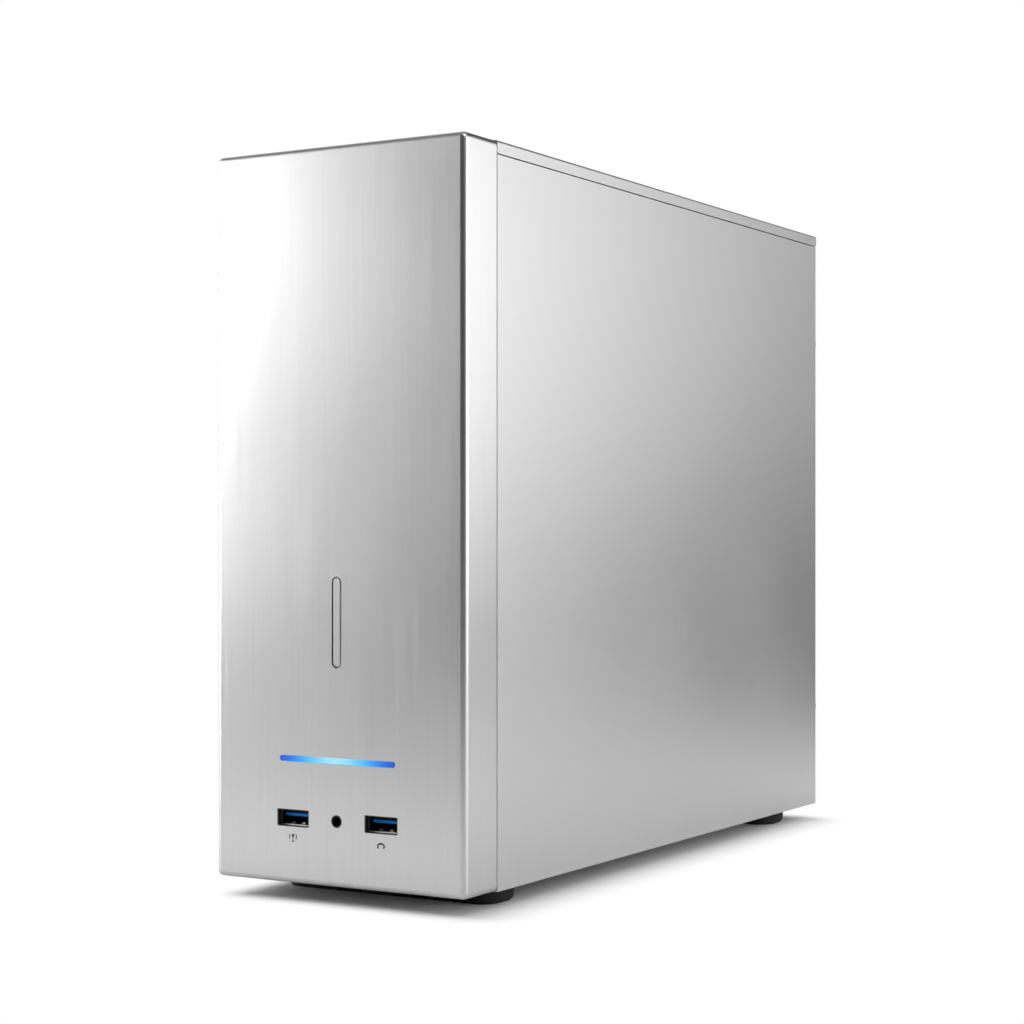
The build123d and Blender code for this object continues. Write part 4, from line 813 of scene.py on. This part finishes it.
def makeFloor():
    mesh = bpy.data.meshes.new("studio_floor")
    turns = [tau * k / floorLook["sides"] for k in range(floorLook["sides"])]
    rim = [(floorLook["reach"] * cos(t), floorLook["reach"] * sin(t), 0) for t in turns]
    mesh.from_pydata(rim, [], [tuple(range(len(rim)))])
    floor = bpy.data.objects.new("studio_floor", mesh)
    bpy.context.scene.collection.objects.link(floor)
    pale = Finish("studio_floor")
    pale.set({"Base Color": grey(floorLook["tone"]), "Roughness": 0.9, "Specular IOR Level": 0.1})
    x, y = pale.axes()[:2]
    edgeX, edgeY = [cadBox[1][k] - floorLook["under"][k] for k in range(2)]
    leftward, rightward = (-edgeX - x).largest(0), (x - edgeX).largest(0)
    lengthwise = (abs(y) - edgeY).largest(0)
    glow = pale.add("ShaderNodeEmission", None, {"Color": grey(1.0), "Strength": 1.0})
    seen, glossy, through = pale.rays("Camera", "Glossy", "Transmission")

    def beyond(left, right, ahead):  # white comes sooner before the front than beside the panels
        aside = leftward / left + rightward / right
        return ((aside ** 2 + (lengthwise / ahead) ** 2) ** 0.5).smooth(0, 1)

    share = beyond(*floorLook["white"]) * seen + beyond(*floorLook["glossWhite"]) * (glossy + through)
    blend = pale.add("ShaderNodeMixShader", None, {0: share, 2: glow})
    pale.tree.links.new(pale.shader.outputs[0], blend.socket.node.inputs[1])
    pale.tree.links.new(blend.socket, pale.tree.nodes["Material Output"].inputs[0])
    paint(floor, pale.material)
    return floor


floor = makeFloor()

roomLook = {"backdrop": (-0.506, 0.8625, 0.0), "edge": 0.93, "full": 0.985, "room": 0.05, "ceiling": 0.3,
            "ceilingFrom": (0.6, 0.95), "ambient": 0.19}  # white paper behind the part, a dim room elsewhere


def makeWorld(backdrop, edge, full, room, ceiling, ceilingFrom, ambient):
    world = bpy.data.worlds.new("studio")
    bpy.context.scene.world = world
    world.use_nodes = True
    air = Finish("studio", world.node_tree)
    air.tree.nodes.clear()
    seen, glossy, through = air.rays("Camera", "Glossy", "Transmission")
    heading = air.add("ShaderNodeTexCoord", output=0)
    facing = air.add("ShaderNodeVectorMath", {"operation": "DOT_PRODUCT"}, {0: heading, 1: backdrop}, 1)
    white = facing.smooth(edge, full)
    above = air.add("ShaderNodeSeparateXYZ", None, {0: heading}, 2).smooth(*ceilingFrom) * ceiling
    mirrored = glossy * (room + above + white * (1 - room))
    level = seen + through + mirrored + (1 - seen - glossy - through).largest(0) * ambient
    sky = air.add("ShaderNodeBackground", None, {"Color": grey(1.0), "Strength": level})
    out = air.tree.nodes.new("ShaderNodeOutputWorld")
    air.tree.links.new(sky.socket, out.inputs[0])


makeWorld(**roomLook)

aim = Vector((0, 0, 0.14))
softboxes = {  # turn from the front towards the right side, tilt up, both in degrees
    "lowLeft": {"turn": -58, "tilt": 10, "away": 0.75, "size": 0.42, "watts": 5.25},
    "veiledLeft": {"turn": -58, "tilt": 10, "away": 0.75, "size": 0.42, "watts": 1.4},
    "highLeft": {"turn": -42, "tilt": 24, "away": 0.75, "size": 0.42, "watts": 0.42},
    "farLeft": {"turn": -70, "tilt": 20, "away": 0.75, "size": 0.42, "watts": 0.7},
    "highRight": {"turn": 60, "tilt": 45, "away": 1.25, "size": 0.6, "watts": 3.3},
    "right": {"turn": 92, "tilt": 8, "away": 1.0, "size": 0.6, "watts": 2.3},
    "sideLow": {"turn": 118, "tilt": 10, "away": 0.75, "size": 0.42, "watts": 1.62},
    "sideBack": {"turn": 146, "tilt": 16, "away": 1.25, "size": 0.6, "watts": 0.68},
    "backLeft": {"turn": 232, "tilt": 34, "away": 1.25, "size": 0.8, "watts": 2.5},
}


def hang(name, turn, tilt, away, size, watts):
    lamp = bpy.data.lights.new(name, "AREA")
    lamp.shape = "RECTANGLE"
    lamp.size = lamp.size_y = size
    lamp.energy = watts
    box = bpy.data.objects.new(name, lamp)
    turn, tilt = radians(turn), radians(tilt)
    flat = away * cos(tilt)
    box.location = aim + Vector((flat * sin(turn), -flat * cos(turn), away * sin(tilt)))
    box.rotation_euler = (aim - box.location).to_track_quat("-Z", "Y").to_euler()
    box.visible_camera = False
    bpy.context.scene.collection.objects.link(box)
    return box


def flag(box, pieces, state):  # keeps a softbox off these pieces, or on these alone
    behind = bpy.data.collections.new(box.name + "_flag")
    for piece in pieces:
        behind.objects.link(piece)
    for row in behind.collection_objects:
        row.light_linking.link_state = state
    box.light_linking.receiver_collection = behind


hung = {name: hang(name, **box) for name, box in softboxes.items()}
veiled = [floor] + [nodes[name] for name in ("left_side_panel", "top_cover", "psu_case", "psu_cover")]
flag(hung["lowLeft"], veiled, "EXCLUDE")  # these would mirror the full softbox as plain white
flag(hung["veiledLeft"], veiled, "INCLUDE")
bpy.context.scene.view_settings.view_transform = "Standard"
print("studio:", len(softboxes), "softboxes")
